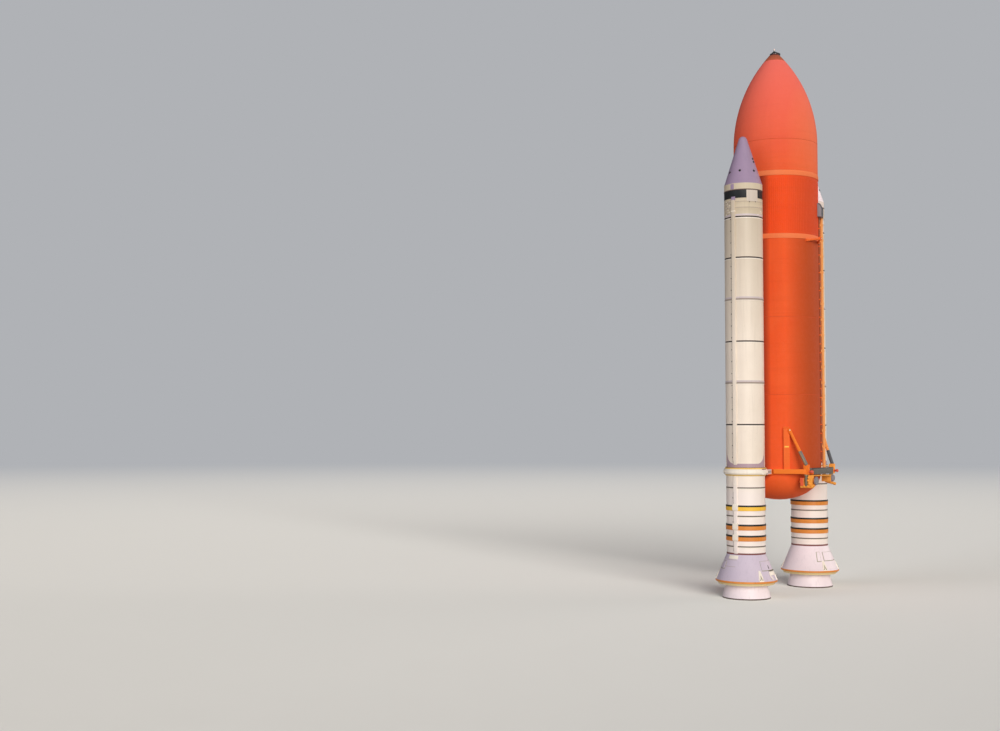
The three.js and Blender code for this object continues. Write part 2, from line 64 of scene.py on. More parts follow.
# Camera, solved from the outlines of the tank and the two boosters in the photograph
cameraValues = {
    "place": (-56.760, -31.700, 8.100),
    "yaw": 48.0755,  # degrees from +Y toward +X
    "pitch": 2.9405, "roll": 0.1009, "lens": 45.06, "sensor": 36.0, "farthest": 3000.0,
}


def makeCamera(values):
    yaw, pitch, roll = (math.radians(values[key]) for key in ("yaw", "pitch", "roll"))
    ahead = Vector((math.sin(yaw) * math.cos(pitch), math.cos(yaw) * math.cos(pitch), math.sin(pitch)))
    level = Vector((math.cos(yaw), -math.sin(yaw), 0))
    right = math.cos(roll) * level + math.sin(roll) * level.cross(ahead)
    turn = Matrix((right, right.cross(ahead), -ahead)).transposed().to_4x4()
    data = bpy.data.cameras.new("camera")
    data.lens = values["lens"]
    data.sensor_width = values["sensor"]
    data.clip_end = values["farthest"]
    scene.camera = addObject("camera", data)
    scene.camera.matrix_world = Matrix.Translation(values["place"]) @ turn
    return ahead, right


viewAhead, viewRight = makeCamera(cameraValues)
print("camera placed")


# Linear colour from sRGB hex, by the curve of that standard
def linear(hexColour):
    values = [int(hexColour[i:i + 2], 16) / 255 for i in (1, 3, 5)]
    return [v / 12.92 if v <= 0.04045 else ((v + 0.055) / 1.055) ** 2.4 for v in values] + [1.0]


# Adds a node, sets its inputs and links those that are sockets
def addNode(tree, kind, inputs=None, **settings):
    made = tree.nodes.new(kind)
    for key, value in settings.items():
        setattr(made, key, value)
    for key, value in (inputs or {}).items():
        if isinstance(value, bpy.types.NodeSocket):
            tree.links.new(value, made.inputs[key])
        else:
            made.inputs[key].default_value = value
    return made


# Sum of sockets or numbers in a node tree
def addSum(tree, operation, *values):
    return addNode(tree, "ShaderNodeMath", dict(enumerate(values)), operation=operation).outputs[0]


# Starts a finish: its shader and its patterns, each label: (cells per metre along x, y and z, detail)
def startFinish(name, shaderInputs, patterns):
    material = bpy.data.materials.new(name)
    tree = emptyTree(material)
    shader = addNode(tree, "ShaderNodeBsdfPrincipled", shaderInputs)
    addNode(tree, "ShaderNodeOutputMaterial", {"Surface": shader.outputs[0]})
    coordinates = addNode(tree, "ShaderNodeTexCoord").outputs["Object"]
    drawn = {}
    for label, (cells, detail) in patterns.items():
        scaled = addNode(tree, "ShaderNodeMapping", {"Vector": coordinates, "Scale": cells}).outputs[0]
        noise = addNode(tree, "ShaderNodeTexNoise", {"Vector": scaled, "Scale": 1.0, "Detail": detail})
        drawn[label] = noise.outputs[0]
    place = addNode(tree, "ShaderNodeSeparateXYZ", {0: coordinates}).outputs
    drawn["height"] = place[2]
    drawn["front"] = addSum(tree, "MULTIPLY", place[1], -1.0)
    drawn["side"] = addSum(tree, "ABSOLUTE", place[0])
    return material, tree, shader, drawn


glossFrom, glossTo = 0.3, 0.75  # values of a pattern between which the roughness rises


# Ends a finish: tones laid over one another, roughness that follows a pattern, and a relief in metres
# A layer is (pattern, value where it starts, value where it is full, share that it covers, colour)
def endFinish(tree, shader, base, layers, gloss, relief, depth):
    colour = linear(base)
    for pattern, low, high, cover, tone in layers:
        share = addNode(tree, "ShaderNodeMapRange", {0: pattern, 1: low, 2: high, 3: 0.0, 4: cover})
        mixed = addNode(tree, "ShaderNodeMix", {0: share.outputs[0], 6: colour, 7: linear(tone)},
                        data_type="RGBA")
        colour = mixed.outputs[2]
    tree.links.new(colour, shader.inputs["Base Color"])
    pattern, smooth, rough = gloss
    shine = addNode(tree, "ShaderNodeMapRange", {0: pattern, 1: glossFrom, 2: glossTo, 3: smooth, 4: rough})
    tree.links.new(shine.outputs[0], shader.inputs["Roughness"])
    height = 0.0
    for pattern, weight in relief:
        height = addSum(tree, "MULTIPLY_ADD", pattern, weight, height)
    bump = addNode(tree, "ShaderNodeBump", {"Distance": depth, "Height": height})
    tree.links.new(bump.outputs[0], shader.inputs["Normal"])


# Tones that come in from one place in metres to another, along the height, toward the front (-Y) or
# toward both sides
def fadeLayers(drawn, fades):
    return [(drawn[fade.get("along", "height")], fade["from"], fade["to"], fade["share"], fade["colour"])
            for fade in fades]


# Foam sprayed on in passes: soft clouds of tone, faint level bands, a pebbled skin. The real pebble is
# about 5 mm across; pebble is how many are drawn per metre, so 25 to 90 mm each, or it would not show
def sprayedFoam(name, base, light, dark, pebble, depth=0.006, fades=()):
    material, tree, shader, drawn = startFinish(name, {"Roughness": 0.82, "IOR": 1.45}, {
        "clouds": ((0.55, 0.55, 0.55), 5.0),
        "passes": ((0.35, 0.35, 6.5), 3.0),
        "streaks": ((2.4, 2.4, 0.16), 6.0),
        "spots": ((7.5, 7.5, 7.5), 4.0),
        "pebble": ((pebble, pebble, pebble), 5.0)})
    layers = [(drawn["clouds"], 0.38, 0.66, 0.32, light), (drawn["passes"], 0.50, 0.72, 0.12, dark),
              (drawn["streaks"], 0.54, 0.78, 0.18, dark), (drawn["spots"], 0.56, 0.80, 0.26, light),
              (drawn["pebble"], 0.60, 0.74, 0.26, dark)]
    layers += fadeLayers(drawn, fades)
    endFinish(tree, shader, base, layers, (drawn["spots"], 0.74, 0.92),
              [(drawn["pebble"], 1.0), (drawn["passes"], 0.6), (drawn["spots"], 0.5)], depth)
    return material


# Sprayed paint: faint clouds, rain streaks running down, specks of grime, an orange-peel skin, which is
# about 2 mm across on the real paint and is drawn at 14 mm
def sprayedPaint(name, base, shade, grime, roughness, streak=0.30, speck=0.25, fades=()):
    material, tree, shader, drawn = startFinish(name, {"Roughness": roughness, "IOR": 1.5}, {
        "clouds": ((0.9, 0.9, 0.9), 5.0),
        "rain": ((9.0, 9.0, 0.35), 7.0),
        "specks": ((19.0, 19.0, 19.0), 6.0),
        "dents": ((2.2, 2.2, 2.2), 2.0),
        "peel": ((70.0, 70.0, 70.0), 3.0)})
    layers = [(drawn["clouds"], 0.38, 0.72, 0.55, shade), (drawn["rain"], 0.56, 0.82, streak, grime),
              (drawn["specks"], 0.62, 0.78, speck, grime)] + fadeLayers(drawn, fades)
    endFinish(tree, shader, base, layers, (drawn["rain"], roughness - 0.07, min(1.0, roughness + 0.2)),
              [(drawn["peel"], 0.3), (drawn["dents"], 1.5)], 0.002)
    return material


# Machined metal: turning marks, really half a millimetre apart and drawn at 6 mm, and dull patches
def machinedMetal(name, base, dull, roughness=0.38):
    material, tree, shader, drawn = startFinish(name, {"Roughness": roughness, "Metallic": 1.0}, {
        "marks": ((14.0, 14.0, 160.0), 3.0),
        "patches": ((6.0, 6.0, 6.0), 5.0)})
    endFinish(tree, shader, base, [(drawn["patches"], 0.4, 0.7, 0.8, dull)],
              (drawn["patches"], roughness - 0.08, roughness + 0.25), [(drawn["marks"], 1.0)], 0.001)
    return material


# Frosted polycarbonate: milky, with an etched grain finer than the 4.5 mm that it is drawn at
def frostedLens(name, base, rosy):
    material, tree, shader, drawn = startFinish(name, {"Roughness": 0.28, "IOR": 1.585}, {
        "mist": ((12.0, 12.0, 12.0), 3.0),
        "grain": ((220.0, 220.0, 220.0), 2.0)})
    endFinish(tree, shader, base, [(drawn["mist"], 0.35, 0.65, 0.7, rosy)], (drawn["grain"], 0.2, 0.4),
              [(drawn["grain"], 1.0)], 0.0004)
    return material


# Fades that finishes take on: painted light and shade, scorching under the cap, amber on the pipe
# painted sky light: pinker toward the tip of the nose
noseSkyLight = {"from": 20.8, "to": 27.2, "share": 0.80, "colour": "#F3736A"}
# painted shade: browner toward the front
frontPaintedShade = {"along": "front", "from": 1.08, "to": 1.75, "share": 0.90, "colour": "#B44612"}
# painted shade: darker on the sides next to the boosters
gapPaintedShade = {"along": "side", "from": 1.965, "to": 2.07, "share": 0.90, "colour": "#8A2C14"}
# painted lamplight: brighter orange low on the tank and its dome
domePaintedLight = {"from": 6.4, "to": 5.3, "share": 0.60, "colour": "#FF6A2A"}
# painted shade: deeper toward the front of the intertank
ribFrontPaintedShade = {"along": "front", "from": 1.10, "to": 1.90, "share": 0.60, "colour": "#BA4420"}
collarSoot = {"from": 27.05, "to": 27.42, "share": 0.7, "colour": "#7E4636"}
# painted light: lighter toward the front of the nose
noseFrontPaintedLight = {"along": "front", "from": 1.1, "to": 2.0, "share": 0.32, "colour": "#FB925A"}
# painted shade: greyer high on the motors
motorTopPaintedShade = {"from": 12.0, "to": 18.5, "share": 0.75, "colour": "#C6B69F"}
# painted lamplight: paler and rosier low on the motors
motorFootPaintedLight = {"from": 6.0, "to": 5.0, "share": 0.7, "colour": "#F8ECE8"}
pipeAmber = {"from": 12.0, "to": 6.5, "share": 0.3, "colour": "#EC8C48"}
# Foams: finish, material, base, light and dark tone, pebbles, then relief and fades where special
foamTable = (
    # spray-on polyurethane foam: matt orange, soft clouds; nose pinker and lighter in front as painted light
    ("tankFoam", "sprayed_polyurethane_foam", "#EC5522", "#F06C36", "#CC4517", 26.0, 0.006,
     (noseSkyLight, noseFrontPaintedLight)),
    # the same foam lower down: painted shade at the front and by the boosters, painted light on the dome
    ("shadeFoam", "sprayed_foam_shaded_side", "#EF551B", "#F2682F", "#CF4513", 26.0, 0.006,
     (domePaintedLight, frontPaintedShade, gapPaintedShade)),
    # the same foam over the stringers: painted deeper, as shade where each one shades its neighbour
    # with painted shade toward the front and beside the boosters
    ("ribFoam", "sprayed_foam_over_stringers", "#F34C0E", "#F55E20", "#D6420C", 26.0, 0.004,
     (ribFrontPaintedShade, gapPaintedShade)),
    # foam trimmed by hand over the flanges: paler, coarser
    ("paleFoam", "trimmed_closeout_foam", "#F27A45", "#F58F5C", "#DE6A38", 20.0),
    # ablator scorched under the nose cap: brown and dry, darkest at the cap
    ("collar", "scorched_ablator", "#B8583A", "#C06A48", "#8A4630", 34.0, 0.006, (collarSoot,)),
    # sealant pressed into the panel seams: a dull line
    ("seam", "pressed_foam_sealant", "#D04E22", "#D85C30", "#B8421A", 40.0),
    # foam sprayed over the longerons and the bipod: a shade lighter than the tank
    ("rootFoam", "sprayed_foam_over_roots", "#F06724", "#F47B36", "#D8511C", 28.0),
    # dark brown foam on the cable tray
    ("trayFoam", "sun_browned_foam", "#93431F", "#A85028", "#6E3018", 34.0),
    # foam moulded round struts and fittings: closer grained
    ("strutFoam", "moulded_strut_foam", "#EF761C", "#F79038", "#D25C12", 30.0, 0.004),
    # yellower foam poured over pipes: blotchy, more amber where rain has soaked it
    ("pipeFoam", "poured_pipe_foam", "#F2A25A", "#F9BE7C", "#DC8338", 24.0, 0.006, (pipeAmber,)),
    # the same foam built up in lumps on the umbilical housings
    ("lumpFoam", "built_up_umbilical_foam", "#FBA540", "#FFC468", "#D46A26", 11.0, 0.030),
    # foam stained red by primer on the tab of the hydrogen arm
    ("tabFoam", "primer_stained_foam", "#E8603C", "#F08050", "#C04028", 16.0, 0.015),
)
# Paints: finish, material, base, shade, grime, roughness, then streaks, specks and fades where special
paintTable = (
    # epoxy sprayed on steel motor cases: warm white, satin; painted shade high, painted lamplight low
    ("motorPaint", "sprayed_epoxy_warm_white", "#F5E7D8", "#ECDDCC", "#A89D90", 0.45, 0.26, 0.25,
     (motorTopPaintedShade, motorFootPaintedLight)),
    # epoxy on the left nose cone, tunnel cap and a strip of forward skirt, painted mauve grey as shade
    ("conePaint", "weathered_epoxy_mauve", "#A38CA8", "#9683A0", "#776E84", 0.45, 0.22),
    # putty over the joints: a pale mauve band
    ("jointPaint", "brushed_joint_putty", "#D6C8C8", "#C9BBC0", "#9A8F92", 0.45, 0.22),
    # painted shadow on the motor above the attach ring: deeper mauve
    ("mauvePaint", "sprayed_primer_mauve", "#B79BA5", "#AA909C", "#83727C", 0.5),
    # thermal paint on the forward skirts: cream, flatter
    ("skirtCream", "sprayed_thermal_paint", "#D5C5AC", "#CABAA1", "#A2977F", 0.55, 0.35),
    ("gapCream", "sprayed_thermal_paint_thin", "#D8CABC", "#CCBEB2", "#9A8F84", 0.55, 0.25),
    # epoxy on the aft skirts: white with a touch of rose
    ("aftWhite", "sprayed_epoxy_rose_white", "#F5E7ED", "#EADBE3", "#A89CA4", 0.45, 0.24),
    # the same paint gone lavender in the shade on the left aft skirt
    ("aftLavender", "sprayed_epoxy_lavender", "#D2C4D4", "#C6B8CC", "#948A9C", 0.45, 0.24),
    # thick brushed coat on pads, straps and edges: the cleanest white
    ("padWhite", "brushed_epoxy_clean_white", "#F8EEE0", "#EEE2D4", "#B0A596", 0.4, 0.15, 0.12),
    ("padRose", "sprayed_epoxy_warm_rose", "#E6D6CC", "#DACAC2", "#A2958C", 0.5, 0.25),
    ("bandBlack", "sprayed_epoxy_black", "#0E1215", "#171B1E", "#3A3A3A", 0.5, 0.2, 0.2),
    ("ringOrange", "sprayed_enamel_orange", "#E4903A", "#D67C2C", "#A05F2A", 0.5),
    # yellow on the edges of the attach ring and the skirt rim: painted warm lamplight
    ("edgeYellow", "brushed_enamel_yellow", "#F2CC74", "#E6B85C", "#A88A4C", 0.5),
    # ring enamel painted yellow as lamplight: first ring of the left booster, mark on the left longeron
    ("ringYellow", "sprayed_enamel_yellow", "#F8C440", "#F2A838", "#C88A30", 0.5),
    # canvas laced under the skirt rim, painted pale straw yellow as lamplight from below
    ("curtain", "laced_canvas_straw", "#F0DCA8", "#DCCB98", "#A9A070", 0.75),
    ("lineRed", "trowelled_sealing_compound", "#7E4442", "#6B3836", "#4A2A28", 0.6),
    # dark rubber in joints and round ports, and painted shadow along the cable tunnels
    ("lineDark", "moulded_joint_rubber", "#3C302E", "#2F2524", "#6A5C5A", 0.7),
    ("lineBrown", "painted_joint_rubber", "#6A5450", "#5C4844", "#84706A", 0.7),
    ("lineGrey", "faded_joint_rubber", "#6E635B", "#5E544E", "#8C8178", 0.7),
    ("lineSoft", "dusty_joint_rubber", "#B3A398", "#A5958B", "#82766C", 0.7),
    # olive: painted shadow under the skirt panels, and the wedges on the hold-down posts
    ("lineOlive", "olive_sealing_bead", "#A39C86", "#928B76", "#736E5E", 0.7),
    ("slateGrey", "sprayed_enamel_slate", "#50545A", "#474B50", "#777B80", 0.5),
    ("beamGrey", "sprayed_enamel_mid_grey", "#67625C", "#5A5651", "#87827A", 0.42),
    ("sleeveGrey", "sprayed_enamel_warm_grey", "#75706A", "#66605A", "#4E4844", 0.5),
    ("fairingGrey", "sprayed_enamel_slate_pale", "#8B868D", "#78747B", "#4C4B52", 0.5),
    ("rodOlive", "oxidised_olive_enamel", "#77705C", "#67614F", "#4B4538", 0.6),
    ("railTan", "oxidised_tan_enamel", "#A08C68", "#8E7A58", "#5E5040", 0.6),
    ("capDark", "laid_up_carbon_composite", "#242C30", "#1C2327", "#454E52", 0.45),
    ("ballRed", "brushed_red_primer", "#DD5B48", "#C94A3A", "#7E332A", 0.5),
    ("darkHole", "burnt_steel_dark", "#17181B", "#202226", "#3A3636", 0.7),
    ("padBrown", "cast_rubber_pad", "#5B4A40", "#4C3D35", "#7C6C60", 0.8),
)
finishes = {finish: sprayedFoam(*row) for finish, *row in foamTable}
finishes.update({finish: sprayedPaint(*row) for finish, *row in paintTable})
finishes["steel"] = machinedMetal("turned_steel_bare", "#A9A7A3", "#7D7A76")
finishes["lens"] = frostedLens("frosted_polycarbonate", "#F3D9CF", "#E4A493")
# Finishes of each slot in the record
slotFinishes = {
    "tank_foam": ("tankFoam", "shadeFoam", "ribFoam", "collar", "seam"),
    "pale_foam": ("paleFoam",),
    "strut_foam": ("strutFoam", "rootFoam", "trayFoam"),
    "feedline_foam": ("pipeFoam", "lumpFoam", "tabFoam"),
    "white_paint": ("motorPaint", "conePaint", "jointPaint", "mauvePaint", "aftWhite", "aftLavender",
                    "padWhite", "padRose"),
    "cream_paint": ("skirtCream", "gapCream", "curtain"),
    "orange_paint": ("ringOrange", "ringYellow", "edgeYellow", "ballRed"),
    "grey_paint": ("beamGrey", "slateGrey", "sleeveGrey", "fairingGrey", "rodOlive", "railTan"),
    "dark_metal": ("bandBlack", "lineRed", "lineDark", "lineBrown", "lineGrey", "lineSoft", "lineOlive",
                   "capDark", "darkHole", "padBrown", "steel"),
    "lamp_glass": ("lens",),
}
recordSlots = {finish: slot for slot, members in slotFinishes.items() for finish in members}
print("finishes made:", len(finishes))


# A shape is (points, faces, the finish of each face); this takes one out of a bmesh
def harvest(shape, finish, place=None):
    if place is not None:
        shape.transform(place)
    shape.verts.index_update()
    points = [v.co.copy() for v in shape.verts]
    faces = [[v.index for v in f.verts] for f in shape.faces]
    kinds = [finish(f.calc_center_median()) if callable(finish) else finish for f in shape.faces]
    shape.free()
    return points, faces, kinds


# Frame on a round body: X outward, Y along the girth, Z up; angles run from the front (-Y) toward +X
def placeAt(centre, angle, reach=0.0, height=0.0):
    turn = Matrix.Rotation(math.radians(angle - 90), 4, "Z")
    return Matrix.Translation((centre[0], centre[1], height)) @ turn @ Matrix.Translation((reach, 0, 0))


mostCut = 0.4  # share of an edge that one rounded corner may take


# Corners of a profile cut round
def softened(rows, radius, closed):
    corners = range(len(rows)) if closed else range(1, len(rows) - 1)
    eased = [] if closed else [rows[0]]
    for i in corners:
        before, here, after = (rows[(i + k) % len(rows)] for k in (-1, 0, 1))
        a, b, c = (Vector(row[:2]) for row in (before, here, after))
        cut = min(radius, (b - a).length * mostCut, (c - b).length * mostCut)
        first = b + (a - b).normalized() * cut
        last = b + (c - b).normalized() * cut
        middle = (first + last) / 4 + b / 2
        eased += [(*first, before[2]), (*middle, before[2]), (*last, here[2])]
    return eased if closed else eased + [rows[-1]]


# Turned shape from (radius, height, finish) rows; rows that start off the axis close into a ring
def turned(rows, sides=48, start=(0, 0, 0), direction=(0, 0, 1), finish=None, soften=0.0, sweep=None):
    rows = [row if len(row) > 2 else (*row, finish) for row in rows]
    closed = rows[0][0] > 0
    if soften:
        rows = softened(rows, soften, closed)
    first, last = sweep or (0, 360)
    columns = sides + 1 if sweep else sides
    angles = [math.radians(first + (last - first) * k / sides) for k in range(columns)]
    points, rings = [], []
    for radius, height, _ in rows:
        begin = len(points)
        if radius <= 0:
            points.append(Vector((0, 0, height)))
            rings.append([begin] * columns)
        else:
            points += [Vector((radius * math.sin(a), -radius * math.cos(a), height)) for a in angles]
            rings.append(list(range(begin, begin + columns)))
    count = len(rows)
    area = sum(rows[i][0] * rows[(i + 1) % count][1] - rows[(i + 1) % count][0] * rows[i][1]
               for i in range(count))
    faces, kinds = [], []
    for i in range(count if closed else count - 1):
        upper, lower = rings[i], rings[(i + 1) % count]
        for k in range(sides):
            n = (k + 1) % columns
            corners = list(dict.fromkeys((upper[k], lower[k], lower[n], upper[n])))
            if len(corners) > 2:
                faces.append(corners)
                kinds.append(rows[i][2])
    if sweep:
        faces += [[ring[0] for ring in rings][::-1], [ring[-1] for ring in rings]]
        kinds += [rows[0][2]] * 2
    if area > 0:
        faces = [face[::-1] for face in faces]
    turn = Vector((0, 0, 1)).rotation_difference(Vector(direction)).to_matrix().to_4x4()
    place = Matrix.Translation(start) @ turn
    return [place @ p for p in points], faces, kinds


# Rows of a profile, from a table of (name of a radius, growth, name of a level, step, finish if any)
def rowsFrom(table, radii, levels):
    return [(radii[name] + grow, levels[level] + step, *finish)
            for name, grow, level, step, *finish in table]


# Rows whose radii are shares of one radius
def scaled(rows, radius):
    return [(share * radius, height) for share, height in rows]


# Rounds the sharp edges of a bmesh shape
def easeEdges(shape, bevel, sharp=28):
    edges = [e for e in shape.edges if e.calc_face_angle(0) > math.radians(sharp)]
    bmesh.ops.bevel(shape, geom=edges, offset=bevel, segments=2, profile=0.6, affect="EDGES",
                    clamp_overlap=True)


# Angles in even steps from 0 to the last one
def evenTurns(count, last=math.pi / 2):
    return [last * i / count for i in range(count + 1)]


# Outline of (x, z) pairs given a width along y
def slab(outline, width, finish, place=None, bevel=0.0):
    shape = bmesh.new()
    face = shape.faces.new([shape.verts.new((x, -width / 2, z)) for x, z in outline])
    moved = [g for g in bmesh.ops.extrude_face_region(shape, geom=[face])["geom"]
             if isinstance(g, bmesh.types.BMVert)]
    bmesh.ops.translate(shape, verts=moved, vec=(0, width, 0))
    bmesh.ops.recalc_face_normals(shape, faces=shape.faces)
    if bevel:
        easeEdges(shape, bevel)
    return harvest(shape, finish, place)


# Block between two corners of a frame
def block(low, high, finish, place=None, bevel=0.0):
    place = (place or Matrix()) @ Matrix.Translation((0, (low[1] + high[1]) / 2, 0))
    outline = [(low[0], low[2]), (high[0], low[2]), (high[0], high[2]), (low[0], high[2])]
    return slab(outline, high[1] - low[1], finish, place, bevel)


# Solid through level sections, each (height, reach inside, reach outside, half width)
def lofted(sections, finish, place=None, bevel=0.0):
    shape = bmesh.new()
    loops = [[shape.verts.new((x, y, height)) for x, y in
              ((inside, -half), (outside, -half), (outside, half), (inside, half))]
             for height, inside, outside, half in sections]
    for lower, upper in zip(loops, loops[1:]):
        for k in range(4):
            n = (k + 1) % 4
            shape.faces.new((lower[k], lower[n], upper[n], upper[k]))
    shape.faces.new(loops[0])
    shape.faces.new(loops[-1])
    bmesh.ops.recalc_face_normals(shape, faces=shape.faces)
    if bevel:
        easeEdges(shape, bevel)
    return harvest(shape, finish, place)


# Strip that lies on a body and thins out toward both ends, where its tip is (rise, share of the half width)
def strip(low, high, values, finish, place=None):
    taper, sink, rise, half = (values[key] for key in ("taper", "sink", "rise", "half"))
    tipRise, tipShare = values["tip"]
    sections = [(low, -sink, tipRise, half * tipShare), (low + taper, -sink, rise, half),
                (high - taper, -sink, rise, half), (high, -sink, tipRise, half * tipShare)]
    return lofted(sections, finish, place, values["bevel"])


# Round bar between two points, from (share of the length, radius, finish) stations
def bar(start, end, stations, sides=24, soften=0.004):
    start, end = Vector(start), Vector(end)
    length = (end - start).length
    rows = [(radius, share * length, finish) for share, radius, finish in stations]
    rows = [(0, rows[0][1], rows[0][2])] + rows + [(0, rows[-1][1], rows[-1][2])]
    return turned(rows, sides, start, end - start, soften=soften)


def rod(start, end, radius, finish, sides=24):
    return bar(start, end, ((0, radius, finish), (1, radius, finish)), sides)


def ball(centre, radius, finish, sides=32):
    steps = sides // 2
    turns = [math.pi * i / steps for i in range(1, steps)]
    rows = [(0, radius)] + [(radius * math.sin(t), radius * math.cos(t)) for t in turns] + [(0, -radius)]
    return turned(rows, sides, centre, finish=finish)


# How far a rounded corner cuts into an edge, at a share of its length
def roundedCorner(share, wide, rise):
    inward = min(share, 1 - share) / wide
    return rise * (1 - math.sqrt(1 - (1 - inward) ** 2)) if inward < 1 else 0.0


plateChamfer = 0.012


# Plate bent round a body between two angles and two heights, its edges chamfered
# crown and foot, where given, raise its upper and its lower edge at a share of its width
def bentPlate(centre, radiusAt, angles, heights, rise, finish, steps=10, rows=2, sink=0.01, crown=None,
              foot=None):
    angles, heights = sorted(angles), sorted(heights)
    chamfer = min(rise, plateChamfer)
    points = []
    for level, inset in ((-sink, 0.0), (rise, chamfer)):
        turnInset = inset / radiusAt((heights[0] + heights[1]) / 2)
        low, high = math.radians(angles[0]) + turnInset, math.radians(angles[1]) - turnInset
        for j in range(rows + 1):
            for i in range(steps + 1):
                share = i / steps
                bottom = heights[0] + inset + (foot(share) if foot else 0.0)
                top = heights[1] - inset + (crown(share) if crown else 0.0)
                height = bottom + (top - bottom) * j / rows
                reach, turn = radiusAt(height) + level, low + (high - low) * share
                points.append(Vector((centre[0] + reach * math.sin(turn),
                                      centre[1] - reach * math.cos(turn), height)))
    width = steps + 1
    layer = width * (rows + 1)
    faces = []
    for j in range(rows):
        for a in range(j * width, j * width + steps):
            faces.append([layer + a, layer + a + 1, layer + a + width + 1, layer + a + width])
            faces.append([a, a + width, a + width + 1, a + 1])
    rim = list(range(width)) + [j * width + steps for j in range(1, rows + 1)]
    rim += [rows * width + i for i in range(steps - 1, -1, -1)] + [j * width for j in range(rows - 1, 0, -1)]
    faces += [[a, b, layer + b, layer + a] for a, b in zip(rim, rim[1:] + rim[:1])]
    return points, faces, [finish] * len(faces)


# Copy of a CAD solid with its triangles merged and its sharp edges rounded
def refined(node, finish, bevel=0.010):
    shape = bmesh.new()
    shape.from_mesh(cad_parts[node].data)
    bmesh.ops.remove_doubles(shape, verts=shape.verts, dist=0.0001)
    bmesh.ops.dissolve_limit(shape, angle_limit=math.radians(1.0), verts=shape.verts, edges=shape.edges)
    easeEdges(shape, bevel, 35)
    return harvest(shape, finish)


# Settles a finished piece on the one body
def settle(made, replaced, slot):
    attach(made, "root")
    if replaced:
        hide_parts(*replaced)


# One mesh from shapes, and the finish of each of its faces
def joinShapes(name, shapes):
    points, faces, kinds = [], [], []
    for shapePoints, shapeFaces, shapeKinds in shapes:
        first = len(points)
        points += shapePoints
        faces += [[i + first for i in face] for face in shapeFaces]
        kinds += shapeKinds
    mesh = bpy.data.meshes.new(name)
    mesh.from_pydata(points, [], faces)
    return mesh, kinds


# One piece from shapes; the slot of the finish that most of its faces have is worked out, but not used
def makePiece(name, shapes, replaced=()):
    mesh, kinds = joinShapes(name, shapes)
    used = list(dict.fromkeys(kinds))
    for finish in used:
        mesh.materials.append(finishes[finish])
    mesh.polygons.foreach_set("material_index", [used.index(kind) for kind in kinds])
    mesh.shade_smooth()
    mesh.set_sharp_from_angle(angle=creaseAngle)
    settle(addObject(name, mesh), replaced, recordSlots[max(used, key=kinds.count)])


def makeBody(node, shapes):
    makePiece(node + "_body", shapes, (node,))


# Runs a Geometry Nodes tree on an empty mesh and keeps the result as a plain mesh
def runTree(tree, name, values):
    holder = addObject(name, bpy.data.meshes.new(name + "_empty"))
    modifier = holder.modifiers.new("nodes", "NODES")
    modifier.node_group = tree
    for item in tree.interface.items_tree:
        if item.in_out == "INPUT":
            modifier[item.identifier] = values[item.name]
    holder.update_tag()
    bpy.context.view_layer.update()
    evaluated = holder.evaluated_get(bpy.context.evaluated_depsgraph_get())
    mesh = bpy.data.meshes.new_from_object(evaluated)
    holder.modifiers.remove(modifier)
    holder.data = mesh
    mesh.shade_smooth()
    mesh.set_sharp_from_angle(angle=creaseAngle)
    return holder


# Geometry Nodes tree with named inputs, its given values and its end
def startTree(name, inputs):
    tree = bpy.data.node_groups.new(name, "GeometryNodeTree")
    tree.interface.new_socket("Geometry", in_out="OUTPUT", socket_type="NodeSocketGeometry")
    for label, kind in inputs.items():
        tree.interface.new_socket(label, in_out="INPUT", socket_type="NodeSocket" + kind)
    return tree, addNode(tree, "NodeGroupInput").outputs, addNode(tree, "NodeGroupOutput")


# Works out a chain of sums, each label: (operation, first, second, third), where a text names an earlier
# sum or one of the given values
def workOut(tree, given, known, sums):
    def read(value):
        if isinstance(value, str):
            return known[value] if value in known else given[value]
        return value

    for label, (operation, *values) in sums.items():
        known[label] = addSum(tree, operation, *(read(value) for value in values))
    return known


# Ends a tree: instances made real, material set
def endTree(tree, geometry, given, end):
    real = addNode(tree, "GeometryNodeRealizeInstances", {"Geometry": geometry})
    painted = addNode(tree, "GeometryNodeSetMaterial",
                      {"Geometry": real.outputs[0], "Material": given["Material"]})
    tree.links.new(painted.outputs[0], end.inputs[0])


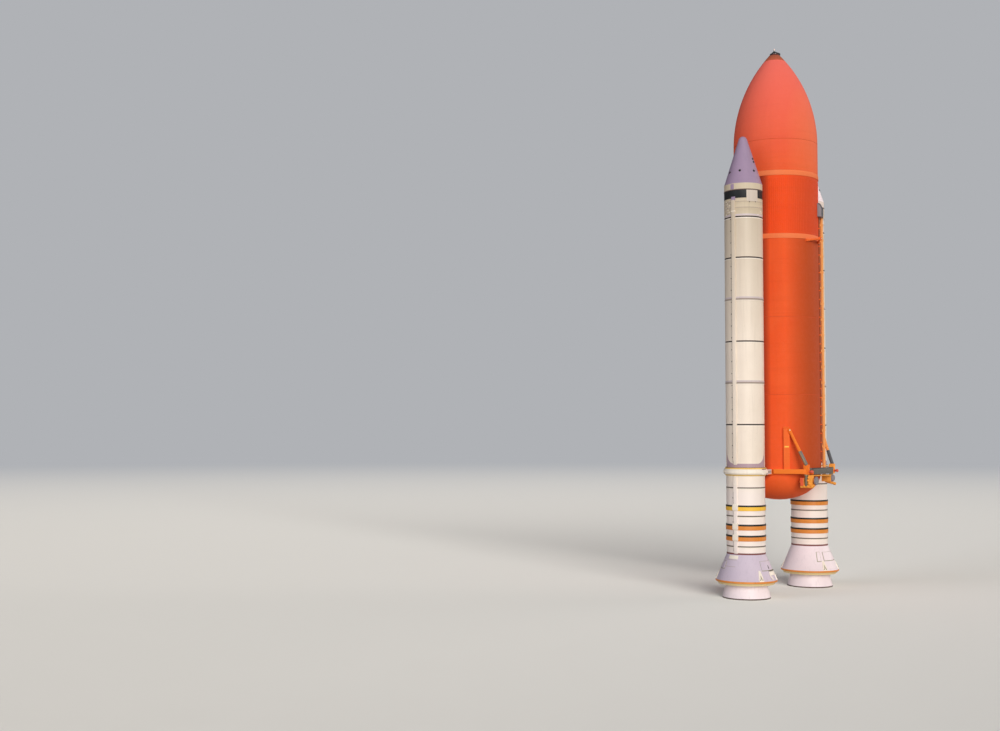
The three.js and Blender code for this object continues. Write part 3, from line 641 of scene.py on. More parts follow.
# Pointed nose: a grid rolled round the axis, whose radius follows the arc of the ogive
def ogiveTree():
    tree, given, end = startTree("ogive shell", {
        "Base Radius": "Float", "Arc Radius": "Float", "Base Height": "Float", "Top Height": "Float",
        "Axis Y": "Float", "Sides": "Int", "Rings": "Int", "Material": "Material"})
    columns = addSum(tree, "ADD", given["Sides"], 1.0)
    grid = addNode(tree, "GeometryNodeMeshGrid", {
        "Size X": 1.0, "Size Y": 1.0, "Vertices X": columns, "Vertices Y": given["Rings"]})
    place = addNode(tree, "GeometryNodeInputPosition").outputs[0]
    across = addNode(tree, "ShaderNodeSeparateXYZ", {0: place}).outputs
    # the first and the last row of the grid close the shell on the axis, the others share its height
    known = workOut(tree, given, {"x": across[0], "y": across[1]}, {
        "turn": ("MULTIPLY", "x", 2 * math.pi),
        "along": ("ADD", "y", 0.5),
        "rowsLessOne": ("SUBTRACT", "Rings", 1.0),
        "rowsLessThree": ("SUBTRACT", "Rings", 3.0),
        "row": ("MULTIPLY_ADD", "along", "rowsLessOne", -1.0),
        "share": ("DIVIDE", "row", "rowsLessThree"),
        "shareHigh": ("MINIMUM", "share", 1.0),
        "shareHeld": ("MAXIMUM", "shareHigh", 0.0),
        "tall": ("SUBTRACT", "Top Height", "Base Height"),
        "rise": ("MULTIPLY", "shareHeld", "tall"),
        "height": ("ADD", "rise", "Base Height"),
        "riseSquare": ("MULTIPLY", "rise", "rise"),
        "arcSquare": ("MULTIPLY", "Arc Radius", "Arc Radius"),
        "rest": ("SUBTRACT", "arcSquare", "riseSquare"),
        "root": ("SQRT", "rest"),
        "inset": ("SUBTRACT", "Base Radius", "Arc Radius"),
        "reach": ("ADD", "inset", "root"),
        "edge": ("ABSOLUTE", "y"),
        "isShell": ("LESS_THAN", "edge", 0.49999),
        "radius": ("MULTIPLY", "reach", "isShell"),
        "sine": ("SINE", "turn"),
        "cosine": ("COSINE", "turn"),
        "placeX": ("MULTIPLY", "cosine", "radius"),
        "placeY": ("MULTIPLY_ADD", "sine", "radius", "Axis Y"),
    })
    point = addNode(tree, "ShaderNodeCombineXYZ",
                    {0: known["placeX"], 1: known["placeY"], 2: known["height"]})
    rolled = addNode(tree, "GeometryNodeSetPosition",
                     {"Geometry": grid.outputs[0], "Position": point.outputs[0]})
    closed = addNode(tree, "GeometryNodeMergeByDistance",
                     {"Geometry": rolled.outputs[0], "Distance": 0.0002})
    endTree(tree, closed.outputs[0], given, end)
    return tree


# Items repeated round an axis or up a line, facing outward, each turned a little about its own spoke
def repeatTree():
    tree, given, end = startTree("repeated items", {
        "Item": "Object", "Count": "Int", "Centre": "Vector", "Ring Radius": "Float", "First Angle": "Float",
        "Angle Step": "Float", "Height Step": "Float", "Loose Turn": "Float", "Seed": "Int",
        "Material": "Material"})
    line = addNode(tree, "GeometryNodeMeshLine", {"Count": given["Count"]})
    known = workOut(tree, given, {"index": addNode(tree, "GeometryNodeInputIndex").outputs[0]}, {
        "turn": ("MULTIPLY_ADD", "index", "Angle Step", "First Angle"),
        "height": ("MULTIPLY", "index", "Height Step"),
        "cosine": ("COSINE", "turn"),
        "sine": ("SINE", "turn"),
        "placeX": ("MULTIPLY", "cosine", "Ring Radius"),
        "placeY": ("MULTIPLY", "sine", "Ring Radius"),
    })
    offset = addNode(tree, "ShaderNodeCombineXYZ",
                     {0: known["placeX"], 1: known["placeY"], 2: known["height"]})
    point = addNode(tree, "ShaderNodeVectorMath", {0: offset.outputs[0], 1: given["Centre"]},
                    operation="ADD")
    placed = addNode(tree, "GeometryNodeSetPosition",
                     {"Geometry": line.outputs[0], "Position": point.outputs[0]})
    item = addNode(tree, "GeometryNodeObjectInfo", {"Object": given["Item"]})
    loose = addNode(tree, "FunctionNodeRandomValue", {3: given["Loose Turn"], "Seed": given["Seed"]},
                    data_type="FLOAT")
    facing = addNode(tree, "ShaderNodeCombineXYZ", {0: loose.outputs[1], 2: known["turn"]})
    copies = addNode(tree, "GeometryNodeInstanceOnPoints", {
        "Points": placed.outputs[0], "Instance": item.outputs["Geometry"], "Rotation": facing.outputs[0]})
    endTree(tree, copies.outputs[0], given, end)
    return tree


ogiveShell, repeated = ogiveTree(), repeatTree()


# Repeats shapes that face +X at the origin; angles in degrees from the front toward +X
def repeatShapes(name, shapes, finish, count, centre, radius, angle=0.0, step=None, rise=0.0, loose=0.0):
    item = addObject(name + "_item", joinShapes(name + "_item", shapes)[0])
    step = 360 / count if step is None else step
    made = runTree(repeated, name, {
        "Item": item, "Count": count, "Centre": centre, "Ring Radius": radius,
        "First Angle": math.radians(angle - 90), "Angle Step": math.radians(step), "Height Step": rise,
        "Loose Turn": math.radians(loose), "Seed": 7, "Material": finishes[finish]})
    bpy.data.objects.remove(item)
    settle(made, (), recordSlots[finish])


# Bolt head on its washer, facing +X; few faces, since hundreds are placed
boltValues = {
    "sides": 6,
    # shares of its radius: across, up
    "profile": ((0, 0.9), (0.6, 0.9), (0.9, 0.65), (0.9, 0.0), (1.4, 0.0), (1.4, -0.5), (0, -0.5)),
}


def boltHead(radius):
    rows = [(share * radius, rise * radius) for share, rise in boltValues["profile"]]
    return turned(rows, boltValues["sides"], direction=(1, 0, 0), finish="steel")


# Main tank: sizes in metres; the CAD nodes give the radii and the heights of all joints
tankValues = {
    "sides": 168,
    "smallSides": 96,
    "arcRadius": 7.061,
    "noseRings": 60,
    "barrelTop": 22.608,
    "noseSeam": 22.590,
    "seamHeights": (13.715, 9.863),
    "seamWidth": 0.018, "seamDepth": 0.006,
    "collarDepth": 0.405, "collarShare": 0.97, "collarDark": 0.04, "collarRise": 0.006,
    "collarSink": 0.01, "collarSteps": 8,
    "collarFeather": (0.2, 0.5),  # share of the rise at its lower edge, growth with each step
    "bandSlopes": {"upper_flange_band": 0.110, "lower_flange_band": 0.030},
    "bandFoot": 0.012, "bandLip": 0.002, "bandEase": 0.02,
    "domeSteps": 24,
}
stringerValues = {
    "count": 132, "margin": 0.10, "taper": 0.05, "sink": 0.01, "rise": 0.005, "half": 0.023,
    "tip": (0.0002, 0.6),
    "bevel": 0.003,
}
tankLow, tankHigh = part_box("intertank")
tankAxis = (tankLow + tankHigh) / 2
tankCentre = (tankAxis.x, tankAxis.y)
tankRadius = (tankHigh.x - tankLow.x) / 2
onTank = (tankAxis.x, tankAxis.y, 0)
seal = 0.001  # half the gap between two shells


def ogiveAt(height):
    arc = tankValues["arcRadius"]
    return tankRadius - arc + math.sqrt(arc ** 2 - max(0.0, height - tankValues["barrelTop"]) ** 2)


# Straight barrel with a sealed groove at each seam
def makeBarrel(name, top, bottom, seams, finish, replaced=()):
    half, floor = tankValues["seamWidth"] / 2, tankRadius - tankValues["seamDepth"]
    rows = [(0, top, finish), (tankRadius, top, finish)]
    for height in seams:
        rows += [(tankRadius, height + half, "seam"), (floor, height + half / 2, "seam"),
                 (floor, height - half / 2, "seam"), (tankRadius, height - half, finish)]
    rows += [(tankRadius, bottom, finish), (0, bottom, finish)]
    makePiece(name, [turned(rows, tankValues["sides"], onTank)], replaced)


def makeTankNose(values):
    capBase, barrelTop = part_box("nose_cap")[0].z, values["barrelTop"]
    shell = runTree(ogiveShell, "oxygen_tank_nose", {
        "Base Radius": tankRadius, "Arc Radius": values["arcRadius"], "Base Height": barrelTop,
        "Top Height": capBase - seal, "Axis Y": tankAxis.y, "Sides": values["sides"],
        "Rings": values["noseRings"], "Material": finishes["tankFoam"]})
    settle(shell, ("oxygen_tank",), "tank_foam")
    makeBarrel("oxygen_tank_barrel", barrelTop - seal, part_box("oxygen_tank")[0].z, (values["noseSeam"],),
               "tankFoam")

    # scorched collar under the cap, feathered at its lower edge
    depth, count = values["collarDepth"], values["collarSteps"]
    first, growth = values["collarFeather"]
    steps = [capBase - depth + depth * values["collarShare"] * i / count for i in range(count + 1)]
    scorched = capBase - values["collarDark"]
    rows = []
    for i, height in enumerate(steps):
        rise = values["collarRise"] * min(1.0, i * growth + first)
        rows.insert(0, (ogiveAt(height) + rise, height, "capDark" if height > scorched else "collar"))
    rows += [(ogiveAt(height) - values["collarSink"], height, "collar") for height in steps]
    makePiece("nose_collar", [turned(rows, values["smallSides"], onTank)])


def makeFlangeBand(node, slope, values):
    low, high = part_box(node)
    radius, foot = (high.x - low.x) / 2, values["bandFoot"]
    rows = [(0, high.z), (tankRadius + values["bandLip"], high.z), (radius, high.z - slope),
            (radius, low.z + foot), (radius - foot, low.z), (0, low.z)]
    band = turned(rows, values["sides"], onTank, finish="paleFoam", soften=values["bandEase"])
    makePiece(node + "_foam", [band], (node,))


def makeIntertank(values):
    low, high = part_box("intertank")
    makeBarrel("intertank_shell", high.z, low.z, (), "ribFoam", ("intertank",))
    stringer = strip(0.0, high.z - low.z - 2 * values["margin"], values, "ribFoam")
    repeatShapes("intertank_stringers", [stringer], "ribFoam", values["count"],
                 (*tankCentre, low.z + values["margin"]), tankRadius)


def makeLowerTank(values):
    low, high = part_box("hydrogen_tank")
    makeBarrel("hydrogen_tank_shell", high.z, low.z, values["seamHeights"], "shadeFoam", ("hydrogen_tank",))
    low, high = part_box("aft_dome")
    deep = high.z - low.z
    rows = [(tankRadius * math.cos(t), high.z - deep * math.sin(t))
            for t in evenTurns(values["domeSteps"])[:-1]]
    dome = turned([(0, high.z)] + rows + [(0, low.z)], values["smallSides"], onTank, finish="shadeFoam")
    makePiece("aft_dome_shell", [dome], ("aft_dome",))


# Dark cap with its duct, then the lamp's globe on its socket
noseTopValues = {
    "sides": 64,
    "crown": ((0.058, 0.0), (0.064, 0.012), (0.085, 0.030), (0.098, 0.040)),  # radius, drop
    "slope": ((0.042, 0.30), (0.030, 0.26), (0.0, 0.22)),  # inset, share of the cap's height
    "ease": 0.004,
    "duct": ((-0.020, 0.0, 0.300, 0.10), (0.045, 0.0, 0.295, 0.09), (0.150, 0.0, 0.070, 0.05)),
    "ductAngle": 31, "ductBevel": 0.010,
    "bolts": 16,
    "boltRadius": 0.010, "boltShare": 0.11,
    "lampSides": 40,
    "globeRadius": 0.034, "globeShare": 0.33, "globeSteps": 10,
    "socket": ((0.040, 0.003), (0.040, 0.018), (0.036, 0.022)),  # radius, drop below the globe
    "socketFoot": ((0.036, 0.016), (0.044, 0.012), (0.044, 0.0), (0.0, 0.0)),  # radius, rise
}


def makeNoseTop(values):
    low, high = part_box("nose_cap")
    base, tall = (high.x - low.x) / 2, high.z - low.z
    rows = [(0, high.z)] + [(radius, high.z - drop) for radius, drop in values["crown"]]
    rows += [(base - inset, low.z + tall * share) for inset, share in values["slope"]]
    rows += [(base, low.z), (0, low.z)]
    duct = [(low.z + rise, inner, outer, half) for rise, inner, outer, half in values["duct"]]
    shapes = [turned(rows, values["sides"], onTank, finish="capDark", soften=values["ease"]),
              lofted(duct, "capDark", placeAt(tankCentre, values["ductAngle"]), values["ductBevel"])]
    makePiece("nose_cap_shell", shapes, ("nose_cap",))
    repeatShapes("nose_cap_bolts", [boltHead(values["boltRadius"])], "steel", values["bolts"],
                 (*tankCentre, low.z + tall * values["boltShare"]), base)

    low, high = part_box("nose_lamp")
    globe = values["globeRadius"]
    neck = high.z - (high.z - low.z) * values["globeShare"] - globe
    rows = [(globe * math.sin(t), high.z - globe + globe * math.cos(t), "lens")
            for t in evenTurns(values["globeSteps"])]
    rows.append((globe, neck, "steel"))
    rows += [(radius, neck - drop, "steel") for radius, drop in values["socket"]]
    rows += [(radius, low.z + rise, "steel") for radius, rise in values["socketFoot"]]
    makePiece("nose_lamp_globe", [turned(rows, values["lampSides"], onTank)], ("nose_lamp",))


makeTankNose(tankValues)
for band, slope in tankValues["bandSlopes"].items():
    makeFlangeBand(band, slope, tankValues)
makeIntertank(stringerValues)
makeLowerTank(tankValues)
makeNoseTop(noseTopValues)
print("tank made")


# A booster: what its pieces share; angles run in degrees from the front toward the outboard side
boosterValues = {
    "sides": 112,
    "rimTop": 0.889,
    "skirtInset": 0.035,
    "studSides": 20, "studFlare": 1.15, "studSink": 0.03,
    "rodSides": 16,
}


class Booster:
    def __init__(self, side, sign, values):
        self.side, self.sign, self.values = side, sign, values
        low, high = self.box("motor_forward")
        middle = (low + high) / 2
        self.centre = (middle.x, middle.y)
        self.axis = (middle.x, middle.y, 0)
        self.radius = (high.x - low.x) / 2
        self.skirtTop = self.box("motor_aft")[0].z
        skirtLow, skirtHigh = self.box("aft_skirt")
        self.rim = (skirtHigh.x - skirtLow.x) / 2
        self.rimTop = values["rimTop"]
        self.skirtFoot = self.rim - values["skirtInset"]
        # the left booster's cone and skirts are mauve, cream and lavender, the right one's are paler
        # the left booster's mauve cone and lavender aft skirt are painted shade
        left = {"cone": "conePaint", "front": "skirtCream", "aft": "aftLavender"}
        right = {"cone": "aftWhite", "front": "padRose", "aft": "aftWhite"}
        self.paints = left if sign < 0 else right

    def node(self, piece):
        return f"{self.side}_booster_{piece}"

    def paint(self, finish):
        return self.paints.get(finish, finish)

    def angle(self, outboard):
        return self.sign * outboard

    def place(self, outboard, reach=0.0, height=0.0):
        return placeAt(self.centre, self.angle(outboard), reach, height)

    # Radius of the motor case, the same at each height
    def case(self, height=0.0):
        return self.radius

    # Radius of the flared aft skirt
    def skirt(self, height):
        share = (self.skirtTop - height) / (self.skirtTop - self.rimTop)
        return self.radius + (self.skirtFoot - self.radius) * share

    def box(self, piece):
        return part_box(self.node(piece))

    # How far a node reaches out from the booster's axis
    def reach(self, piece):
        return max(abs(corner.x - self.centre[0]) for corner in self.box(piece))

    # Radii and levels that a table of rows names
    def radii(self, **more):
        return {"axis": 0, "case": self.radius, **more}

    def levels(self, piece, **more):
        low, high = self.box(piece)
        return {"top": high.z, "foot": low.z, **more}

    # A piece of this booster, which stands for the CAD node where one is named
    def piece(self, name, shapes, node=None):
        makePiece(self.node(name), shapes, (self.node(node),) if node else ())

    # Turned piece round the booster's axis
    def shell(self, name, rows, node, **more):
        rows = [(radius, height, self.paint(finish)) for radius, height, finish in rows]
        self.piece(name, [turned(rows, self.values["sides"], self.axis, **more)], node)

    # One shape repeated round the booster, or up a line on it
    def repeat(self, name, shape, finish, count, height, radius, *more, **named):
        repeatShapes(self.node(name), [shape], finish, count, (*self.centre, height), radius, *more, **named)

    def plate(self, radiusAt, angles, heights, rise, finish, steps=8, rows=2, **more):
        return bentPlate(self.centre, radiusAt, [self.angle(a) for a in angles], heights, rise,
                         self.paint(finish), steps, rows, **more)

    # Short round stud that faces outward
    def stud(self, outboard, reach, height, radius, rise, finish, across=0.0):
        place = self.place(outboard, reach, height) @ Matrix.Translation((0, across, 0))
        flare, sink = radius * self.values["studFlare"], self.values["studSink"]
        rows = [(0, rise), (radius, rise), (flare, 0.0), (flare, -sink), (0, -sink)]
        return turned(rows, self.values["studSides"], place.translation,
                      place.to_3x3() @ Vector((1, 0, 0)), finish)

    # Rod along the surface between two places, each (angle, height, rise)
    def rod(self, radiusAt, ends, radius):
        start, end = (self.place(outboard, radiusAt(height) + rise, height).translation
                      for outboard, height, rise in ends)
        return rod(start, end, radius, "padWhite", self.values["rodSides"])


# Smooth nose cone with the mouths of the separation motors, each at (angle, height)
coneValues = {
    "tipRadius": 0.210, "tipSteps": 12,
    "lean": 18, "foot": 0.03,
    "ports": ((71.6, 20.779), (13.8, 20.775), (118, 20.750), (-3, 21.420), (-3, 21.260)),
    "portSides": 28, "portRadius": 0.050,
    # share of the radius, height over the cone
    "ring": ((0.95, -0.02), (0.95, 0.012), (1.10, 0.016), (1.2, 0.004), (1.2, -0.02)),
    "mouth": ((0, 0.010), (0.97, 0.006), (0.97, -0.02), (0, -0.02)),
}


def makeNoseCone(booster, values):
    low, high = booster.box("nose_cone")
    tip, lean = values["tipRadius"], math.radians(values["lean"])
    shoulder, shoulderHeight = tip * math.cos(lean), high.z - tip + tip * math.sin(lean)

    def coneAt(height):
        share = (shoulderHeight - height) / (shoulderHeight - low.z)
        return shoulder + (booster.radius - shoulder) * share

    rows = [(tip * math.sin(t), high.z - tip + tip * math.cos(t), "cone")
            for t in evenTurns(values["tipSteps"], math.pi / 2 - lean)]
    foot = low.z + values["foot"]
    rows += [(coneAt(foot), foot, "cone"), (booster.radius, low.z + values["foot"] / 2, "cone"),
             (booster.radius, low.z, "cone"), (0, low.z, "cone")]
    booster.shell("nose_cone_shell", rows, "nose_cone")
    ports = []
    for outboard, height in values["ports"]:
        seat = booster.place(outboard, coneAt(height), height)
        outward = seat.to_3x3() @ Vector((math.cos(lean), 0, math.sin(lean)))
        for part, finish in (("ring", "lineDark"), ("mouth", "darkHole")):
            ports.append(turned(scaled(values[part], values["portRadius"]), values["portSides"],
                                seat.translation, outward, finish))
    booster.piece("nose_ports", ports)


# Marks on a case, each as (growth of the radius, step from its height, finish)
# the white band under a groove or joint is a raised bead, painted whiter as its highlight
marks = {
    "groove": ((0, 0.034, "lineDark"), (-0.010, 0.026, "lineDark"), (-0.010, -0.024, "lineDark"),
               (0.003, -0.032, "padWhite"), (0.005, -0.042, "padWhite"), (0.005, -0.070, "padWhite"),
               (0, -0.076, "motorPaint")),
    "grey": ((0, 0.032, "lineGrey"), (0.006, 0.026, "lineGrey"), (0.006, -0.026, "padWhite"),
             (0.004, -0.034, "padWhite"), (0.004, -0.062, "padWhite"), (0, -0.068, "motorPaint")),
    "red": ((0, 0.042, "lineRed"), (0.006, 0.036, "lineRed"), (0.006, -0.036, "lineRed"),
            (0, -0.042, "motorPaint")),
    "jointAbove": ((0, 0.115, "jointPaint"), (0.007, 0.105, "jointPaint"), (0.007, 0.034, "lineSoft"),
                   (0.001, 0.003, "lineSoft")),
    "jointBelow": ((0.001, -0.003, "lineSoft"), (0.011, -0.008, "lineSoft"), (0.011, -0.050, "padWhite"),
                   (0.011, -0.075, "padWhite"), (0, -0.086, "motorPaint")),
    "faint": ((0, 0.012, "lineSoft"), (0.003, 0.007, "lineSoft"), (0.003, -0.007, "lineSoft"),
              (0, -0.012, "front")),
}


# Rows of marks, from the top down; wanted is a falling list of (height, mark)
def markRows(radius, wanted):
    return [(radius + grow, height + step, finish) for height, kind in wanted
            for grow, step, finish in marks[kind]]


# Forward skirt: cream, with the black band, its pale gap, faint ribs and putty at the foot
forwardSkirtValues = {
    "levels": {"bandTop": 19.772, "bandFoot": 19.395, "putty": 18.614},
    # radius and growth, height and step, finish
    "bandRows": (("axis", 0, "top", 0, "front"), ("case", 0, "top", 0, "front"),
                 ("case", 0, "bandTop", 0.066, "lineBrown"), ("case", 0.014, "bandTop", 0.060, "lineBrown"),
                 ("case", 0.014, "bandTop", 0.018, "bandBlack"),
                 ("case", 0.001, "bandTop", 0.008, "bandBlack"),
                 ("case", 0.001, "bandFoot", 0, "front"), ("case", 0, "bandFoot", -0.002, "front")),
    "footRows": (("case", 0, "putty", 0, "jointPaint"), ("case", 0, "foot", 0, "jointPaint"),
                 ("axis", 0, "foot", 0, "jointPaint")),
    "faintLines": (19.225, 18.932),
    "gapAngles": (12, 50),
    "gapHeights": (19.215, 19.790),
    "gapRise": 0.010, "gapSteps": 20,
    "gapCorner": (0.12, 0.09),  # share of the width, rise
    "gapMarks": ((40.5, 19.195), (20.2, 19.205)),
    "markRadius": 0.020, "markRise": 0.008,
    # angles, heights, rise, finish
    # the first pad takes the cone's paint, on the left booster a painted shade
    "pads": (((88, 100), (19.845, 20.110), 0.004, "cone"), ((8, 13), (18.56, 18.60), 0.004, "padWhite")),
    "bracket": ((-0.1, 18.788, 0.01), (-6.5, 18.655, 0.01)),
    "bracketRadius": 0.022,
}
# Rows of small pads behind the cable tunnel, every other row a little further round
dashValues = {
    "rows": 7, "columns": 3,
    "from": (101, 18.62),
    "pitch": (8.5, 0.105),
    "stagger": 2.5, "width": 5, "steps": 3, "height": 0.045, "rise": 0.005,
    "finishes": ("jointPaint", "lineSoft", "padWhite"),
}


def makeForwardSkirt(booster, values):
    radii, levels = booster.radii(), booster.levels("forward_skirt", **values["levels"])
    rows = rowsFrom(values["bandRows"], radii, levels)
    rows += markRows(booster.radius, [(height, "faint") for height in values["faintLines"]])
    rows += rowsFrom(values["footRows"], radii, levels)
    booster.shell("forward_skirt_shell", rows, "forward_skirt")
    panel = [booster.plate(booster.case, values["gapAngles"], values["gapHeights"], values["gapRise"],
                           "gapCream", values["gapSteps"],
                           foot=lambda share: roundedCorner(share, *values["gapCorner"]))]
    rise = values["markRise"]
    panel += [booster.stud(outboard, booster.radius + rise, height, values["markRadius"], rise, "darkHole")
              for outboard, height in values["gapMarks"]]
    booster.piece("band_gap_panel", panel)
    shapes = [booster.plate(booster.case, *pad) for pad in values["pads"]]
    shapes += makeDashes(booster, dashValues)
    shapes.append(booster.rod(booster.case, values["bracket"], values["bracketRadius"]))
    booster.piece("forward_skirt_pads", shapes)


def makeDashes(booster, values):
    shapes = []
    paints, columns = values["finishes"], values["columns"]
    for row in range(values["rows"]):
        for column in range(columns):
            first = values["from"][0] + values["pitch"][0] * column + values["stagger"] * (row % 2)
            bottom = values["from"][1] + values["pitch"][1] * row
            angles = (first, first + values["width"] + (row + column) % columns)
            heights = (bottom, bottom + values["height"])
            finish = paints[(2 * row + column) % len(paints)]
            shapes.append(booster.plate(booster.case, angles, heights, values["rise"], finish,
                                        values["steps"]))
    return shapes


# Four motor segments with the marks on them, and rows of pins at the two field joints
motorValues = {
    "segments": ("motor_forward", "motor_forward_centre", "motor_aft_centre", "motor_aft"),
    "lines": {"groove": (18.479, 16.487, 12.405, 8.371), "grey": (5.327, 3.965, 2.510), "red": (2.160,)},
    "fieldJoints": (14.459, 10.395),
    "near": 0.01, "pins": 96,
    "pinSides": 8, "pinRadius": 0.011, "pinHeight": 0.062, "pinReach": 0.007,
    "pinRows": ((0, 0.005), (0.8, 0.005), (1, 0.002), (1, -0.01), (0, -0.01)),  # share of the radius, rise
}


# Rows of a case with its marks
def caseRows(radius, top, bottom, wanted, finish):
    rows = [(0, top, finish)]
    if not wanted or wanted[0][0] < top:
        rows.append((radius, top, finish))
    rows += markRows(radius, wanted)
    if not wanted or wanted[-1][0] > bottom:
        rows.append((radius, bottom, finish))
    return rows + [(0, rows[-1][1], finish)]


def makeMotor(booster, values):
    near, joints = values["near"], values["fieldJoints"]
    for name in values["segments"]:
        low, high = booster.box(name)
        wanted = [(height, kind) for kind, heights in values["lines"].items() for height in heights
                  if low.z + near < height < high.z]
        for end, kind in ((high.z, "jointBelow"), (low.z, "jointAbove")):
            if any(abs(end - height) < near for height in joints):
                wanted.append((end, kind))
        wanted.sort(reverse=True)
        rows = caseRows(booster.radius, high.z, low.z, wanted, "motorPaint")
        booster.shell(name + "_case", rows, name)
    pin = turned(scaled(values["pinRows"], values["pinRadius"]), values["pinSides"], direction=(1, 0, 0),
                 finish="jointPaint")
    reach = booster.radius + values["pinReach"]
    for i, height in enumerate(joints):
        booster.repeat(f"joint_pins_{i + 1}", pin, "jointPaint", values["pins"],
                       height + values["pinHeight"], reach)


# Cable tunnels with their end caps, straps, a painted shadow along their rear edge and the ticks beside it
tunnelValues = {
    "straps": {"upper_tunnel": 18.760, "lower_tunnel": 5.480},
    # radius and growth, height and step
    "outline": (("case", -0.03, "foot", 0), ("case", 0.027, "foot", 0), ("outer", 0, "foot", 0.24),
                ("outer", 0, "top", -0.24), ("case", 0.027, "top", 0), ("case", -0.03, "top", 0)),
    "capOutline": (("case", -0.02, "cap", 0), ("outer", -0.010, "cap", 0), ("case", 0.030, "top", 0.004),
                   ("case", -0.02, "top", 0.004)),
    "bevel": 0.014,
    "capDepth": 0.186, "capGrowth": 0.004,
    "strapSink": 0.02, "strapRise": 0.008, "strapGrowth": 0.010, "strapHalf": 0.026,
    "joint": 0.042, "jointSink": 0.03, "jointRise": 0.008,
    "jointEnds": (0.10, -0.75),
    "tick": ((-0.03, -0.022, -0.020), (0.012, 0.022, 0.020)),
    "tickBevel": 0.005, "tickSink": 0.004, "tickReach": 0.062, "tickPitch": 0.58, "tickFoot": 0.35,
    "tickMargin": 0.5,
}


def makeTunnels(booster, values):
    radius, place = booster.radius, booster.place(90)
    for name, strap in values["straps"].items():
        low, high = booster.box(name)
        half, outer = (high.y - low.y) / 2, booster.reach(name)
        radii = booster.radii(outer=outer)
        levels = booster.levels(name, cap=high.z - values["capDepth"])
        wide, deep = half + values["strapGrowth"], values["strapHalf"]
        shapes = [slab(rowsFrom(values["outline"], radii, levels), 2 * half, "motorPaint", place,
                       values["bevel"]),
                  block((radius - values["strapSink"], -wide, strap - deep),
                        (outer + values["strapRise"], wide, strap + deep), "padWhite", place,
                        values["strapRise"])]
        if name == "upper_tunnel":
            grow = values["capGrowth"]
            # the cap takes the cone's paint, on the left booster a painted shade
            shapes.append(slab(rowsFrom(values["capOutline"], radii, levels), 2 * (half + grow),
                               booster.paint("cone"), place, grow))
        # dark strip along the rear edge: painted shadow of the tunnel
        rear = sorted((booster.sign * half, booster.sign * (half + values["joint"])))
        foot, top = values["jointEnds"]
        shapes.append(block((radius - values["jointSink"], rear[0], low.z + foot),
                            (radius + values["jointRise"], rear[1], high.z + top), "lineDark", place))
        booster.piece(name + "_cover", shapes, name)
        across = Vector((0, booster.sign * (half + values["tickReach"]), 0))
        near, far = (across + Vector(corner) for corner in values["tick"])
        tick = block(near, far, "lineGrey", bevel=values["tickBevel"])
        count = int((high.z - low.z - values["tickMargin"]) / values["tickPitch"])
        booster.repeat(name + "_ticks", tick, "lineGrey", count, low.z + values["tickFoot"],
                       radius - values["tickSink"], booster.angle(90), 0.0, values["tickPitch"])


# Ring that the aft struts pull on: six-sided section with gussets and bolts, and a painted shadow above it
attachRingValues = {
    "sink": 0.004, "edge": 0.028, "drop": 0.027,
    # radius and growth, height and step, finish
    "rows": (("inner", 0, "top", 0, "lineRed"), ("edge", 0, "top", 0, "lineRed"),
             ("edge", 0.016, "top", -0.026, "edgeYellow"), ("edge", 0.056, "top", -0.088, "padWhite"),
             ("outer", -0.004, "middle", 0.060, "padWhite"), ("outer", -0.004, "middle", -0.060, "padWhite"),
             ("edge", 0.050, "foot", 0.060, "edgeYellow"), ("edge", 0.004, "foot", 0.004, "edgeYellow"),
             ("edge", 0, "foot", 0, "edgeYellow"), ("inner", 0, "foot", 0, "edgeYellow")),
    "gusset": (("edge", -0.02, "middle", 0.130), ("edge", 0.050, "middle", 0.130),
               ("outer", 0.002, "middle", 0.060), ("outer", 0.002, "middle", -0.060),
               ("edge", -0.02, "middle", -0.060)),
    "gussets": 36,
    "gussetWidth": 0.020, "gussetBevel": 0.004, "gussetAngle": 5.0,
    "plateSteps": 6,
    "boltRadius": 0.013, "boltSink": 0.006, "boltAngle": 2.5, "boltLoose": 20,
    # plates on its outer face: angles, heights, rise, finish
    "plates": (((-4, 10), (5.955, 6.205), 0.018, "padWhite"), ((-8, 12), (6.212, 6.246), 0.010, "lineRed")),
    "primerEnds": (-14, 132),
    "primerFoot": 0.006, "primerTop": 6.490, "primerThick": 0.003, "primerRise": 0.75,
    "primerCorner": 36,
    "primerSteps": (48, 6),
}


def makeAttachRing(booster, values):
    low, high = booster.box("attach_ring")
    outer, middle = (high.x - low.x) / 2, (high.z + low.z) / 2 - values["drop"]
    radii = booster.radii(inner=booster.radius - values["sink"], edge=booster.radius + values["edge"],
                          outer=outer)
    levels = booster.levels("attach_ring", middle=middle)
    booster.shell("attach_ring_shell", rowsFrom(values["rows"], radii, levels), "attach_ring")
    gusset = slab(rowsFrom(values["gusset"], radii, levels), values["gussetWidth"], "padWhite",
                  bevel=values["gussetBevel"])
    count = values["gussets"]
    booster.repeat("attach_ring_gussets", gusset, "padWhite", count, 0, 0.0, values["gussetAngle"])
    booster.repeat("attach_ring_bolts", boltHead(values["boltRadius"]), "padWhite", 2 * count, middle,
                   outer - values["boltSink"], values["boltAngle"], loose=values["boltLoose"])
    shapes = [booster.plate(lambda height: outer, *plate, values["plateSteps"])
              for plate in values["plates"]]
    # mauve band above the ring, its upper corners rounded: painted shadow
    first, last = values["primerEnds"]
    corner = (values["primerCorner"] / (last - first), values["primerRise"])
    heights = (high.z + values["primerFoot"], values["primerTop"])
    shapes.append(booster.plate(booster.case, (first, last), heights, values["primerThick"], "mauvePaint",
                                *values["primerSteps"], crown=lambda share: roundedCorner(share, *corner)))
    booster.piece("attach_ring_trim", shapes)


